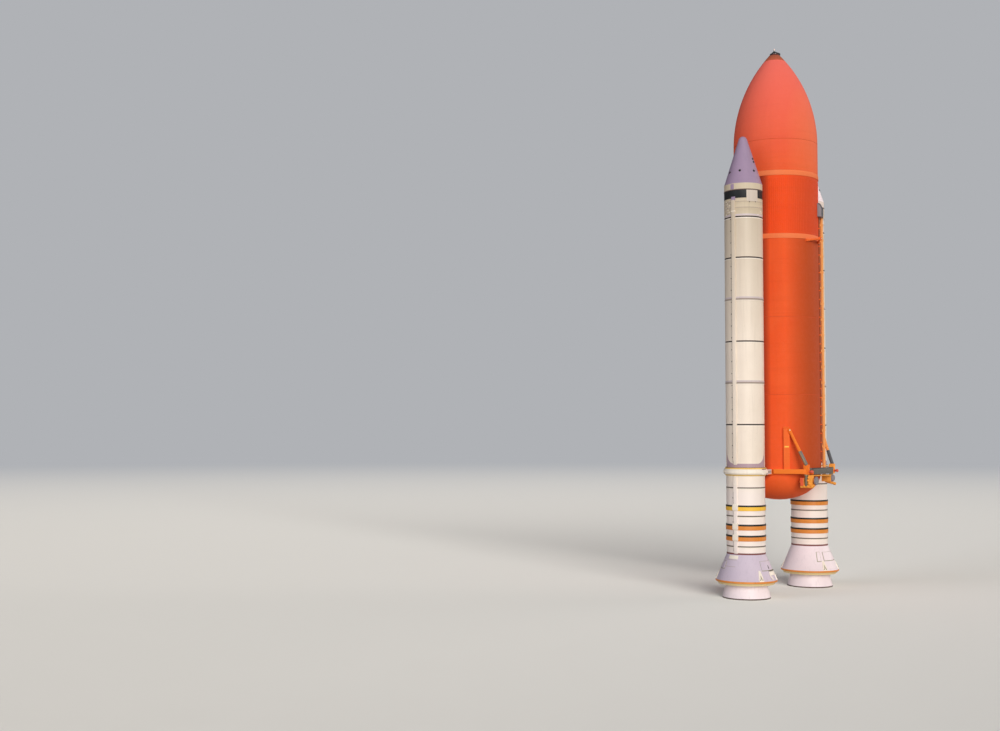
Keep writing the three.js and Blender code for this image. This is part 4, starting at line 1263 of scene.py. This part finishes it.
# Stiffener rings, black above and enamelled below, cut away at the tunnel, which a rounded pad covers
stiffenerValues = {
    "sink": 0.003, "split": 0.70,
    "notchHalf": 0.097,
    # radius and growth, height and step, finish
    "rows": (("inner", 0, "top", 0, "bandBlack"), ("outer", -0.006, "top", 0, "bandBlack"),
             ("outer", 0, "top", -0.006, "bandBlack"), ("outer", 0, "split", 0.006, "bandBlack"),
             ("outer", -0.006, "split", 0, "enamel"), ("outer", 0, "split", -0.006, "enamel"),
             ("outer", 0, "foot", 0.012, "enamel"), ("outer", -0.012, "foot", 0, "enamel"),
             ("inner", 0, "foot", 0, "enamel")),
    "padMiddle": 0.02, "padSink": 0.09, "padBevel": 0.010,
    # step from the middle, rise, half width
    "pad": ((-0.17, 0.000068, 0.105), (-0.11, 0.034, 0.140), (0.11, 0.034, 0.140), (0.17, 0.000068, 0.105)),
}


def makeStiffeners(booster, values):
    pads = []
    reach = booster.reach("lower_tunnel")
    notch = math.degrees(math.asin(values["notchHalf"] / booster.radius))
    start = booster.angle(90) + notch
    for number in (1, 2, 3):
        name = f"stiffener_ring_{number}"
        low, high = booster.box(name)
        # the first ring of the left booster is painted yellow as lamplight
        booster.paints["enamel"] = "ringYellow" if number == 1 and booster.sign < 0 else "ringOrange"
        radii = booster.radii(inner=booster.radius - values["sink"], outer=(high.y - low.y) / 2)
        levels = booster.levels(name, split=low.z + (high.z - low.z) * values["split"])
        booster.shell(name + "_hoop", rowsFrom(values["rows"], radii, levels), name,
                      sweep=(start, start + 360 - 2 * notch))
        middle = (low.z + high.z) / 2 + values["padMiddle"]
        sections = [(middle + step, -values["padSink"], rise, half) for step, rise, half in values["pad"]]
        pads.append(lofted(sections, "padWhite", booster.place(90, reach), values["padBevel"]))
    booster.piece("tunnel_pads", pads)


# Aft skirt: flared cone, orange rim and the canvas laced under it, painted yellow as lamplight
aftSkirtValues = {
    "rimFoot": 0.812,
    "flareStep": 0.05,
    "cloth": {"clothTop": 1.400, "clothFoot": 1.340},
    # radius and growth, height and step, finish
    "rows": (("axis", 0, "top", 0, "aft"), ("case", 0, "top", 0, "aft"), ("flare", 0, "rimTop", 0.05, "aft"),
             ("rim", -0.012, "rimTop", 0.012, "ringOrange"), ("rim", 0, "rimTop", 0, "ringOrange"),
             ("rim", 0, "rimFoot", 0.006, "ringOrange"), ("rim", -0.006, "rimFoot", 0, "edgeYellow"),
             ("clothTop", 0, "rimFoot", 0, "curtain"), ("clothFoot", 0, "foot", 0, "curtain"),
             ("axis", 0, "foot", 0, "curtain")),
    "bolts": 80,
    "boltRadius": 0.010, "boltAngle": 1.0, "boltLoose": 25,
}


def makeAftSkirt(booster, values):
    rim, rimTop, rimFoot = booster.rim, booster.rimTop, values["rimFoot"]
    radii = booster.radii(flare=booster.skirt(rimTop + values["flareStep"]), rim=rim, **values["cloth"])
    levels = {**booster.levels("aft_skirt", rimTop=rimTop, rimFoot=rimFoot), "top": booster.skirtTop}
    booster.shell("aft_skirt_shell", rowsFrom(values["rows"], radii, levels), "aft_skirt")
    booster.repeat("rim_bolts", boltHead(values["boltRadius"]), "ringOrange", values["bolts"],
                   (rimTop + rimFoot) / 2, rim, values["boltAngle"], loose=values["boltLoose"])


# Panels screwed on the skirt over an olive strip, a painted shadow at their left and lower edges
panelValues = {
    "panels": (((-43.5, -34.0), (1.372, 1.840)), ((-25.5, 23.0), (1.400, 1.830)),
               ((118, 140), (1.45, 1.80)), ((160, 200), (1.37, 1.80))),
    "panelRise": 0.014,
    "steps": (14, 4),
    "beadRise": 0.006,
    "beadAngles": (-1.5, 0.4),
    "beadHeights": (-0.030, 0.006),
    # angles, heights, rise, finish, steps round and up
    "trim": (((81.5, 114), (1.91, 2.09), 0.012, "padWhite", 10, 3),
             ((85, 122), (1.868, 1.890), 0.006, "lineSoft", 10, 2),
             ((85, 122), (1.555, 1.577), 0.006, "lineSoft", 10, 2)),
    # only the left skirt has the slot, the shelf and the slanting rod beside it
    "slot": (((-3.5, 0.5), (1.45, 1.63), 0.016, "darkHole", 6, 2),
             ((-31, 2), (1.15, 1.35), 0.038, "padWhite", 6, 2),
             ((-31, 2), (1.352, 1.385), 0.045, "lineDark", 6, 2)),
    "slotRod": ((3.5, 1.235, 0.02), (-1.5, 0.955, 0.04)),
    "slotRodRadius": 0.024,
}


def makeSkirtPanels(booster, values):
    shapes = []
    for angles, heights in values["panels"]:
        # olive strip behind each panel: painted shadow
        beadAngles = [a + grow for a, grow in zip(angles, values["beadAngles"])]
        beadHeights = [h + grow for h, grow in zip(heights, values["beadHeights"])]
        shapes.append(booster.plate(booster.skirt, beadAngles, beadHeights, values["beadRise"], "lineOlive",
                                    *values["steps"]))
        shapes.append(booster.plate(booster.skirt, angles, heights, values["panelRise"], "aft",
                                    *values["steps"]))
    shapes += [booster.plate(booster.skirt, *plate) for plate in values["trim"]]
    booster.piece("skirt_panels", shapes)
    if booster.sign < 0:
        shapes = [booster.plate(booster.skirt, *plate) for plate in values["slot"]]
        shapes.append(booster.rod(booster.skirt, values["slotRod"], values["slotRodRadius"]))
        booster.piece("skirt_slot", shapes)


# Posts that held the skirt down, each with two bolt holes under a dark wedge: (height, rise, half width)
postValues = {
    "angles": (29.5, -29.5, 150.5, -150.5),
    "sections": {
        "padWhite": ((0.905, 0.050, 0.125), (0.985, 0.050, 0.125), (1.04, 0.044, 0.110),
                     (1.20, 0.034, 0.085), (1.40, 0.004, 0.050)),
        "lineOlive": ((1.02, 0.052, 0.046), (1.20, 0.040, 0.006)),
    },
    "depth": 0.06, "bevel": 0.004,
    "holeReach": 0.050, "holeSpread": 0.06, "holeHeight": 0.985, "holeRadius": 0.026,
    "holeRise": 0.004,
}


def makePosts(booster, values):
    shapes = []
    height = values["holeHeight"]
    for outboard in values["angles"]:
        for finish, sections in values["sections"].items():
            body = [(level, booster.skirt(level) - values["depth"], booster.skirt(level) + rise, half)
                    for level, rise, half in sections]
            shapes.append(lofted(body, finish, booster.place(outboard), values["bevel"]))
        for across in (-values["holeSpread"], values["holeSpread"]):
            shapes.append(booster.stud(outboard, booster.skirt(height) + values["holeReach"], height,
                                       values["holeRadius"], values["holeRise"], "darkHole", across))
    booster.piece("hold_down_posts", shapes)


# Flared foot that the booster stands on, dark brown along its lowest edge
nozzleValues = {
    "neck": 0.978, "foot": 1.156, "edge": 0.060,
    # radius and growth, height and step, finish
    "rows": (("axis", 0, "top", 0, "fairingGrey"), ("neck", 0, "top", 0, "fairingGrey"),
             ("neck", 0, "top", -0.02, "aftWhite"), ("neck", 0.012, "top", -0.03, "aftWhite"),
             ("neck", 0.012, "top", -0.06, "aftWhite"), ("foot", -0.012, "edge", 0.04, "aftWhite"),
             ("foot", 0, "edge", 0, "padBrown"), ("foot", 0, "foot", 0, "padBrown"),
             ("axis", 0, "foot", 0, "padBrown")),
    "bolts": 48,
    "boltRadius": 0.012, "boltSink": 0.004, "boltAngle": 3.0, "boltLoose": 25,
}


def makeNozzle(booster, values):
    foot, edge = values["foot"], values["edge"]
    rows = rowsFrom(values["rows"], booster.radii(neck=values["neck"], foot=foot),
                    booster.levels("nozzle", edge=edge))
    booster.shell("nozzle_foot", rows, "nozzle")
    booster.repeat("nozzle_foot_bolts", boltHead(values["boltRadius"]), "steel", values["bolts"], edge / 2,
                   foot - values["boltSink"], values["boltAngle"], loose=values["boltLoose"])


# Links between booster and tank: two foam beads round the mount, bands and a foam end on each strut
linkValues = {
    "mountBevel": 0.016,
    "beadHeights": (-0.06, 0.06),
    "beadInset": 0.02, "beadRise": 0.012, "beadBevel": 0.005,
    "strutBevel": 0.020,
    # share of the height from and to, finish
    "bands": ((0.40, 0.70, "lineSoft"), (0.0, 0.14, "paleFoam")),
    "bandInset": 0.04, "bandRise": 0.004, "bandDrop": 0.002, "bandBevel": 0.006,
    "foamEnd": 2.085,
    "foamRise": (0.009, 0.006),  # across, up
    "foamBevel": 0.010,
}


def makeLinks(booster, values):
    node = booster.node("forward_mount")
    low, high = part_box(node)
    inset, rise = values["beadInset"], values["beadRise"]
    shapes = [refined(node, "paleFoam", values["mountBevel"])]
    for up in values["beadHeights"]:
        height = (low.z + high.z) / 2 + up
        near = (low.x + inset, low.y - rise, height - rise)
        far = (high.x - inset, high.y + rise, height + rise)
        shapes.append(block(near, far, "strutFoam", bevel=values["beadBevel"]))
    makeBody(node, shapes)
    inset, rise = values["bandInset"], values["bandRise"]
    across, up = values["foamRise"]
    for name in ("front_strut", "rear_strut"):
        node = booster.node(name)
        low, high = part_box(node)
        tall = high.z - low.z
        shapes = [refined(node, "jointPaint", values["strutBevel"])]
        for first, last, finish in values["bands"]:
            near = (low.x + inset, low.y - rise, low.z + tall * first - values["bandDrop"])
            far = (high.x - inset, high.y + rise, low.z + tall * last)
            shapes.append(block(near, far, finish, bevel=values["bandBevel"]))
        inner, outer = sorted((booster.sign * values["foamEnd"], high.x if booster.sign < 0 else low.x))
        shapes.append(block((inner, low.y - across, low.z - up), (outer, high.y + across, high.z + up),
                            "strutFoam", bevel=values["foamBevel"]))
        makeBody(node, shapes)


boosterMakers = (
    (makeNoseCone, coneValues), (makeForwardSkirt, forwardSkirtValues), (makeMotor, motorValues),
    (makeTunnels, tunnelValues), (makeAttachRing, attachRingValues), (makeStiffeners, stiffenerValues),
    (makeAftSkirt, aftSkirtValues), (makeSkirtPanels, panelValues), (makePosts, postValues),
    (makeNozzle, nozzleValues), (makeLinks, linkValues))
for side, sign in bothSides:
    booster = Booster(side, sign, boosterValues)
    for maker, values in boosterMakers:
        maker(booster, values)
print("boosters made")


# Oxygen feedline with its flanges and clamps
feedlineValues = {
    "angle": 31, "distance": 2.250, "radius": 0.078, "sides": 40,
    "flangeHeights": (17.30, 13.72, 9.86, 6.50),
    # growth of the pipe's radius, height
    "flange": ((-0.01, 0.05), (0.004, 0.05), (0.014, 0.028), (0.014, -0.028), (0.004, -0.05),
               (-0.01, -0.05)),
    "clamps": 15,
    "clampTop": 18.515, "clampPitch": 0.800,
    "clamp": ((-0.01, 0.045), (0.010, 0.045), (0.014, 0.0), (0.010, -0.045), (-0.01, -0.045)),
    "clampSides": 20,
    # height, reach outside, half width of the foot between clamp and tank
    "clampFoot": ((-0.075, -0.03, 0.085), (0.0, 0.0, 0.075), (0.045, -0.01, 0.070)),
    "clampSink": 0.02, "clampBevel": 0.008,
}


def makeFeedline(values):
    low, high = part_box("feedline")
    radius, distance, sides = values["radius"], values["distance"], values["sides"]
    seat = placeAt(tankCentre, values["angle"], distance).translation
    pipe = [(0, high.z), (radius, high.z), (radius, low.z), (0, low.z)]
    shapes = [turned(pipe, sides, seat, finish="pipeFoam")]
    rows = [(radius + grow, height) for grow, height in values["flange"]]
    shapes += [turned(rows, sides, (seat.x, seat.y, height), finish="pipeFoam")
               for height in values["flangeHeights"]]
    makePiece("feedline_pipe", shapes, ("feedline",))
    back = tankRadius - distance - values["clampSink"]
    rows = [(radius + grow, height) for grow, height in values["clamp"]]
    foot = [(height, back, outside, half) for height, outside, half in values["clampFoot"]]
    clamp = [turned(rows, values["clampSides"], finish="pipeFoam"),
             lofted(foot, "pipeFoam", bevel=values["clampBevel"])]
    repeatShapes("feedline_clamps", clamp, "pipeFoam", values["clamps"],
                 (*tankCentre, values["clampTop"]), distance, values["angle"], 0.0, -values["clampPitch"])


# Cable tray beside the feedline, held by clips
trayValues = {
    "angle": 23,
    "heights": (6.44, 18.96),
    "taper": 0.06, "sink": 0.02, "rise": 0.065, "half": 0.055,
    "tip": (0.002, 0.8),
    "bevel": 0.008,
    "clipHalf": 0.026, "clipGrowth": 0.006, "clipRise": 0.008, "clipFoot": 6.60, "clipPitch": 0.45,
    "clips": 27,
}


def makeCableTray(values):
    tray = strip(*values["heights"], values, "trayFoam", placeAt(tankCentre, values["angle"], tankRadius))
    makePiece("cable_tray", [tray])
    wide, tall = values["half"] + values["clipGrowth"], values["clipHalf"]
    clip = block((0.0, -wide, -tall), (values["rise"] + values["clipRise"], wide, tall), "rootFoam",
                 bevel=values["bevel"])
    repeatShapes("cable_tray_clips", [clip], "rootFoam", values["clips"], (*tankCentre, values["clipFoot"]),
                 tankRadius, values["angle"], 0.0, values["clipPitch"])


# Fairing with a crown that curves back to the tank, a dark band along its outer face and a lip below
fairingValues = {
    "angle": 25, "reach": 2.333, "half": 0.348, "sink": 0.03, "crown": 0.380, "steps": 10,
    "bevel": 0.014,
    "band": (0.006, 0.055),  # in front of the outer face and behind it
    "growth": 0.004,
    "lip": (0.006, 0.008),  # growth outward and to each side
    "lipHeights": (-0.002, 0.024),
    "lipBevel": 0.008,
}


def makeFairing(values):
    low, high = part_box("feedline_fairing")
    reach, crown, half = (values[key] for key in ("reach", "crown", "half"))

    def crownLine(grow):
        arc = [(tankRadius + (reach + grow - tankRadius) * math.cos(t),
                high.z - crown + (crown + grow) * math.sin(t)) for t in evenTurns(values["steps"])]
        return [(reach + grow, low.z)] + arc

    place = placeAt(tankCentre, values["angle"])
    back = tankRadius - values["sink"]
    outline = [(back, low.z)] + crownLine(0.0) + [(back, high.z)]
    before, behind = values["band"]
    outward, aside = values["lip"]
    foot, top = values["lipHeights"]
    band = crownLine(before) + crownLine(-behind)[::-1]
    shapes = [slab(outline, 2 * half, "fairingGrey", place, values["bevel"]),
              slab(band, 2 * (half + values["growth"]), "slateGrey", place),
              block((tankRadius, -half - aside, low.z + foot), (reach + outward, half + aside, low.z + top),
                    "fairingGrey", place, values["lipBevel"])]
    makePiece("feedline_fairing_shell", shapes, ("feedline_fairing",))


makeFeedline(feedlineValues)
makeCableTray(trayValues)
makeFairing(fairingValues)
print("feedline made")


# Forward bipod: two foam-covered struts from their shoes to the spindle
bipodValues = {
    "spindleBevel": 0.016,
    "strutBevel": 0.010,
    "pin": ((0, 0.012), (0.030, 0.012), (0.034, 0.006), (0.034, -0.02), (0, -0.02)),  # radius, reach
    "pinSides": 28, "pinEase": 0.002,
    "footReach": 0.030, "footHeight": 17.545, "footSpread": 0.560,
    "apexHeight": 17.630, "apexInset": 0.028,
    # share of the length, radius
    "stations": ((0.02, 0.062), (0.10, 0.062), (0.16, 0.047), (0.80, 0.047), (0.86, 0.056), (0.91, 0.056)),
}


def makeBipod(values):
    low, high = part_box("bipod_spindle")
    middle = (low + high) / 2
    shapes = [refined("bipod_spindle", "rootFoam", values["spindleBevel"]),
              turned(values["pin"], values["pinSides"], (middle.x, low.y, middle.z), (0, -1, 0), "steel",
                     values["pinEase"])]
    makeBody("bipod_spindle", shapes)
    inset, spread = values["apexInset"], values["footSpread"]
    reach = math.sqrt(tankRadius ** 2 - spread ** 2) + values["footReach"]
    stations = [(share, radius, "rootFoam") for share, radius in values["stations"]]
    for side, sign in bothSides:
        node = f"bipod_strut_{side}"
        foot = Vector((tankAxis.x + sign * spread, tankAxis.y - reach, values["footHeight"]))
        apex = Vector((middle.x + sign * inset, middle.y + inset, values["apexHeight"]))
        makeBody(node, [refined(node, "rootFoam", values["strutBevel"]), bar(foot, apex, stations)])


makeBipod(bipodValues)
print("bipod made")


# Longerons, the left one with a yellow band round it, a painted reflection of a lamp
longeronValues = {
    "angle": 50, "bevel": 0.022,
    "reflectionHeights": (7.262, 7.330),
    "reflectionHalf": 0.105, "reflectionReach": 0.134, "reflectionBevel": 0.004,
}


def makeLongeron(side, sign, values):
    node = f"longeron_{side}"
    shapes = [refined(node, "rootFoam", values["bevel"])]
    if sign < 0:
        low, high = values["reflectionHeights"]
        half = values["reflectionHalf"]
        place = placeAt(tankCentre, sign * values["angle"], tankRadius)
        shapes.append(block((0.0, -half, low), (values["reflectionReach"], half, high), "ringYellow", place,
                            values["reflectionBevel"]))
    makeBody(node, shapes)


# Thrust struts: foam from the pinned ball down, then a grey sleeve with a rail on its outboard side
thrustValues = {
    "pinAngle": 46.5, "pinDistance": 2.252, "pinHeight": 8.110,
    "seat": (1.330, -2.300, 6.400),
    "radius": 0.075, "sides": 32, "ease": 0.006, "ball": 1.2,
    "cap": ((0, 0.02), (0.8, 0.02), (1, 0.008), (1, -0.04), (0, -0.04)),  # share of the radius, rise
    "capRadius": 0.030, "capReach": 1.15, "capSides": 20,
    "railShares": (0.60, 0.97),
    "railOffset": 0.062, "railRadius": 0.034, "railSides": 16,
    # share of the length, share of the radius
    "upper": ((0.0, 1.15), (0.05, 1.15), (0.09, 1.0)),
    "lower": ((0.60, 1.0), (0.605, 1.12), (0.985, 1.12), (1.0, 0.9)),
    "paints": {"left": ("strutFoam", "sleeveGrey"), "right": ("pipeFoam", "slateGrey")},
}


def makeThrustStrut(side, sign, values):
    pinPlace = placeAt(tankCentre, sign * values["pinAngle"], values["pinDistance"], values["pinHeight"])
    pin, outward = pinPlace.translation, pinPlace.to_3x3() @ Vector((1, 0, 0))
    spread, reach, height = values["seat"]
    seat = Vector((tankAxis.x + sign * spread, tankAxis.y + reach, height))
    radius = values["radius"]
    foam, grey = values["paints"][side]
    stations = [(share, radius * size, foam) for share, size in values["upper"]]
    stations += [(share, radius * size, grey) for share, size in values["lower"]]
    cap = turned(scaled(values["cap"], values["capRadius"]), values["capSides"],
                 pin + outward * radius * values["capReach"], outward, "padWhite")
    along = (seat - pin).normalized()
    # the tan rail beside the sleeve is partly a painted highlight of its lit side
    beside = Vector((sign, 0, 0))
    beside = (beside - along * beside.dot(along)).normalized() * values["railOffset"]
    start, end = (pin.lerp(seat, share) + beside for share in values["railShares"])
    shapes = [bar(pin, seat, stations, values["sides"], values["ease"]),
              ball(pin, radius * values["ball"], foam), cap,
              rod(start, end, values["railRadius"], "railTan", values["railSides"])]
    makeBody(f"thrust_strut_{side}", shapes)


# Fitting with a pale ledge on its front and a ring round its ball
fittingValues = {
    "spread": 1.310, "front": 2.415, "redStep": 0.001, "bevel": 0.012,
    "ledgeHalf": 0.074,
    "ledgeDrops": (0.080, 0.045),
    "ledgeReach": (0.006, 0.2),
    "ledgeBevel": 0.006,
    "ballHeight": 6.090,
    # radius, reach
    "ring": ((0.060, 0.012), (0.084, 0.012), (0.088, 0.006), (0.088, -0.01), (0.060, -0.01)),
    "ringSides": 36, "ringEase": 0.003,
    "foams": {"left": "strutFoam", "right": "lumpFoam"},
}


def makeFitting(side, sign, values):
    node = f"aft_fitting_{side}"
    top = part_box(node)[1].z
    front, x = tankAxis.y - values["front"], tankAxis.x + sign * values["spread"]
    foam, half = values["foams"][side], values["ledgeHalf"]
    (lower, upper), (before, behind) = values["ledgeDrops"], values["ledgeReach"]
    redFrom = front - values["redStep"]
    shapes = [refined(node, lambda c: "ballRed" if c.y < redFrom else foam, values["bevel"]),
              block((x - half, front - before, top - lower), (x + half, front + behind, top - upper),
                    "paleFoam", bevel=values["ledgeBevel"]),
              turned(values["ring"], values["ringSides"], (x, front, values["ballHeight"]), (0, -1, 0),
                     "strutFoam", values["ringEase"])]
    makeBody(node, shapes)


# Crossbeam between the fittings, its flanges, foam end caps and bolt rows, and the pipe hung under it
crossbeamValues = {
    "half": 1.014, "bevel": 0.014,
    # end margin, reach before and behind, share of the height, steps down and up, finish, bevel
    "blocks": ((0.0, 0.004, 0.15, 1.0, -0.030, 0.004, "capDark", 0.008),
               (0.02, 0.012, 0.02, 0.66, -0.016, 0.016, "beamGrey", 0.005),
               (0.02, 0.012, 0.02, 0.40, -0.016, 0.016, "beamGrey", 0.005)),
    "capGrowth": 0.010,
    "capReach": (0.002, 0.216),
    "capSteps": (0.004, -0.125),
    "capBevel": 0.006,
    "pipeReach": 2.40, "pipeRadius": 0.032, "pipeSides": 20,
    "pipeEnds": ((-1.02, 5.895), (0.95, 5.870)),
    "boltRows": (0.20, 0.82),
    "bolts": 18,
    "boltMargin": 0.15, "boltSides": 6,
    "bolt": ((0, 0.008), (0.010, 0.008), (0.011, 0.0), (0.016, 0.0), (0.016, -0.004), (0, -0.004)),
}


def makeCrossbeam(values):
    low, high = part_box("crossbeam")
    front, tall, half = low.y, high.z - low.z, values["half"]
    shapes = [refined("crossbeam", "beamGrey", values["bevel"])]
    for margin, before, behind, share, lower, upper, finish, bevel in values["blocks"]:
        wide, height = half - margin, low.z + tall * share
        shapes.append(block((-wide, front - before, height + lower), (wide, front + behind, height + upper),
                            finish, bevel=bevel))
    grow, (before, behind), (lower, upper) = values["capGrowth"], values["capReach"], values["capSteps"]
    for sign in (-1, 1):
        inner, outer = sorted((sign * (half - grow), sign * (half + grow)))
        shapes.append(block((inner, front - before, low.z + lower), (outer, front + behind, high.z + upper),
                            "strutFoam", bevel=values["capBevel"]))
    start, end = ((x, tankAxis.y - values["pipeReach"], height) for x, height in values["pipeEnds"])
    shapes.append(rod(start, end, values["pipeRadius"], "lumpFoam", values["pipeSides"]))
    makeBody("crossbeam", shapes)
    margin, count = values["boltMargin"], values["bolts"]
    pitch = 2 * (half - margin) / (count - 1)
    bolts = [turned(values["bolt"], values["boltSides"],
                    (-half + margin + k * pitch, front, low.z + tall * share), (0, -1, 0), "steel")
             for share in values["boltRows"] for k in range(count)]
    makePiece("crossbeam_bolts", bolts)


# Umbilical housings: a round plate, a rod with its collar, and lumps of foam (reach, height, radius)
umbilicalPlates = {
    "left": {"x": -1.150, "height": 5.650, "radius": 0.205, "face": 2.735, "rodFoot": 5.400,
             "lumps": ((2.38, 5.80, 0.06), (2.36, 5.66, 0.07), (2.40, 5.52, 0.08), (2.14, 5.38, 0.06),
                       (2.34, 5.37, 0.07), (2.56, 5.38, 0.08), (2.64, 5.42, 0.06))},
    "right": {"x": 1.230, "height": 5.720, "radius": 0.165, "face": 2.400, "rodFoot": 5.880,
              "lumps": ((2.02, 5.74, 0.08), (2.10, 5.60, 0.07), (2.30, 5.86, 0.06), (2.22, 5.58, 0.06))},
}
umbilicalValues = {
    "bevel": 0.016,
    "plateDepth": 0.046, "plateGrowth": 0.01,
    # share of the plate's radius, rise
    "rings": ((0.0, 0.010), (0.30, 0.010), (0.34, 0.004), (0.74, 0.004), (0.78, 0.010), (0.90, 0.010),
              (0.92, 0.004), (0.92, -0.01), (0.0, -0.01)),
    "ringSides": 48, "ringEase": 0.002,
    "rodSpread": 1.290, "rodReach": 2.250, "rodTop": 5.946, "rodRadius": 0.063,
    "collarDepth": 0.05, "collarRadius": 0.100,
    "lumpSides": 20,
    "tab": ((-1.302, -1.160), (1.912, 2.100), (5.38, 5.782)),  # across, reach, height
    "tabBevel": 0.015,
}


def makeUmbilical(side, sign, values):
    node, plate = f"umbilical_{side}", umbilicalPlates[side]
    face = tankAxis.y - plate["face"]

    def paintOf(c):
        away = math.hypot(c.x - tankAxis.x - plate["x"], c.z - plate["height"])
        onPlate = c.y < face + values["plateDepth"] and away < plate["radius"] + values["plateGrowth"]
        return "fairingGrey" if onPlate else "lumpFoam"

    centre = (tankAxis.x + plate["x"], face, plate["height"])
    x, y, top = tankAxis.x + sign * values["rodSpread"], tankAxis.y - values["rodReach"], values["rodTop"]
    shapes = [refined(node, paintOf, values["bevel"]),
              turned(scaled(values["rings"], plate["radius"]), values["ringSides"], centre, (0, -1, 0),
                     "fairingGrey", values["ringEase"]),
              rod((x, y, plate["rodFoot"]), (x, y, top), values["rodRadius"], "rodOlive"),
              rod((x, y, top - values["collarDepth"]), (x, y, top), values["collarRadius"], "railTan")]
    if sign < 0:
        (left, right), (near, far), (low, high) = values["tab"]
        shapes.append(block((left, tankAxis.y - far, low), (right, tankAxis.y - near, high), "tabFoam",
                            bevel=values["tabBevel"]))
    shapes += [ball((x, tankAxis.y - reach, height), radius, "lumpFoam", values["lumpSides"])
               for reach, height, radius in plate["lumps"]]
    makeBody(node, shapes)


sideStrutBevel = 0.020
for side, sign in bothSides:
    makeLongeron(side, sign, longeronValues)
    makeThrustStrut(side, sign, thrustValues)
    makeBody(f"side_strut_{side}", [refined(f"side_strut_{side}", "strutFoam", sideStrutBevel)])
    makeFitting(side, sign, fittingValues)
makeCrossbeam(crossbeamValues)
for side, sign in bothSides:
    makeUmbilical(side, sign, umbilicalValues)
print("aft hardware made")


# Studio: pale floor that fades into the backdrop, a broad key beside the camera, softer light around
studioValues = {
    "backdrop": "#B0B2B6",
    "ambientShare": 0.24,
    "floor": "#DEDDDA",
    "floorBounce": "#D8D5D0",
    "floorGrain": 0.6,
    "floorRough": (0.75, 0.85),
    "floorRadius": 1500.0, "floorSides": 96,
    "fadeFrom": 45.0, "fadeTo": 260.0,
}
# Lamps: degrees round from the camera and up, strength, softness in degrees, tone
lampValues = {
    "key": {"turn": 10, "height": 14, "strength": 2.95, "softness": 45, "tone": "#FFFBF4"},
    "fill": {"turn": -60, "height": 18, "strength": 0.6, "softness": 40, "tone": "#F4F5FF"},
    "back": {"turn": 112, "height": 22, "strength": 0.9, "softness": 40, "tone": "#FFF4EC"},
}


# The camera sees the whole backdrop, the pieces are lit by a share of it
def backdropLight(tree, kind, values):
    seen = addNode(tree, "ShaderNodeLightPath").outputs["Is Camera Ray"]
    strength = addNode(tree, "ShaderNodeMapRange", {0: seen, 3: values["ambientShare"], 4: 1.0})
    return addNode(tree, kind, {"Color": linear(values["backdrop"]), "Strength": strength.outputs[0]})


def makeWorld(values):
    scene.world = bpy.data.worlds.new("studio")
    tree = emptyTree(scene.world)
    background = backdropLight(tree, "ShaderNodeBackground", values)
    addNode(tree, "ShaderNodeOutputWorld", {"Surface": background.outputs[0]})


def makeFloorPaint(values):
    material = bpy.data.materials.new("studio_floor_paint")
    tree = emptyTree(material)
    coordinates = addNode(tree, "ShaderNodeTexCoord").outputs["Object"]
    far = addNode(tree, "ShaderNodeVectorMath", {0: coordinates}, operation="LENGTH").outputs["Value"]
    share = addNode(tree, "ShaderNodeMapRange", {0: far, 1: values["fadeFrom"], 2: values["fadeTo"]},
                    interpolation_type="SMOOTHSTEP").outputs[0]
    grain = addNode(tree, "ShaderNodeTexNoise",
                    {"Vector": coordinates, "Scale": values["floorGrain"], "Detail": 4.0}).outputs[0]
    smooth, coarse = values["floorRough"]
    rough = addNode(tree, "ShaderNodeMapRange", {0: grain, 3: smooth, 4: coarse}).outputs[0]
    # the camera sees the floor pale, the pieces get the light of a darker one back from it
    seen = addNode(tree, "ShaderNodeLightPath").outputs["Is Camera Ray"]
    tones = {0: seen, 6: linear(values["floorBounce"]), 7: linear(values["floor"])}
    tone = addNode(tree, "ShaderNodeMix", tones, data_type="RGBA").outputs[2]
    paint = addNode(tree, "ShaderNodeBsdfDiffuse", {"Color": tone, "Roughness": rough})
    glow = backdropLight(tree, "ShaderNodeEmission", values)
    mixed = addNode(tree, "ShaderNodeMixShader", {0: share, 1: paint.outputs[0], 2: glow.outputs[0]})
    addNode(tree, "ShaderNodeOutputMaterial", {"Surface": mixed.outputs[0]})
    return material


def makeFloor(values):
    mesh = bpy.data.meshes.new("floor")
    radius, count = values["floorRadius"], values["floorSides"]
    turns = [2 * math.pi * k / count for k in range(count)]
    corners = [(radius * math.cos(t), radius * math.sin(t), 0) for t in turns]
    mesh.from_pydata(corners, [], [list(range(count))])
    mesh.materials.append(makeFloorPaint(values))
    addObject("floor", mesh)


def makeLamp(name, values):
    turn, height = math.radians(values["turn"]), math.radians(values["height"])
    toCamera = Vector((-viewAhead.x, -viewAhead.y, 0)).normalized()
    flat = math.cos(turn) * toCamera + math.sin(turn) * viewRight
    toward = Vector((flat.x * math.cos(height), flat.y * math.cos(height), math.sin(height)))
    lamp = bpy.data.lights.new(name, "SUN")
    lamp.energy = values["strength"]
    lamp.color = linear(values["tone"])[:3]
    lamp.angle = math.radians(values["softness"])
    addObject(name, lamp).matrix_world = toward.to_track_quat("Z", "Y").to_matrix().to_4x4()


makeWorld(studioValues)
makeFloor(studioValues)
for name, values in lampValues.items():
    makeLamp(name, values)
print("studio made")
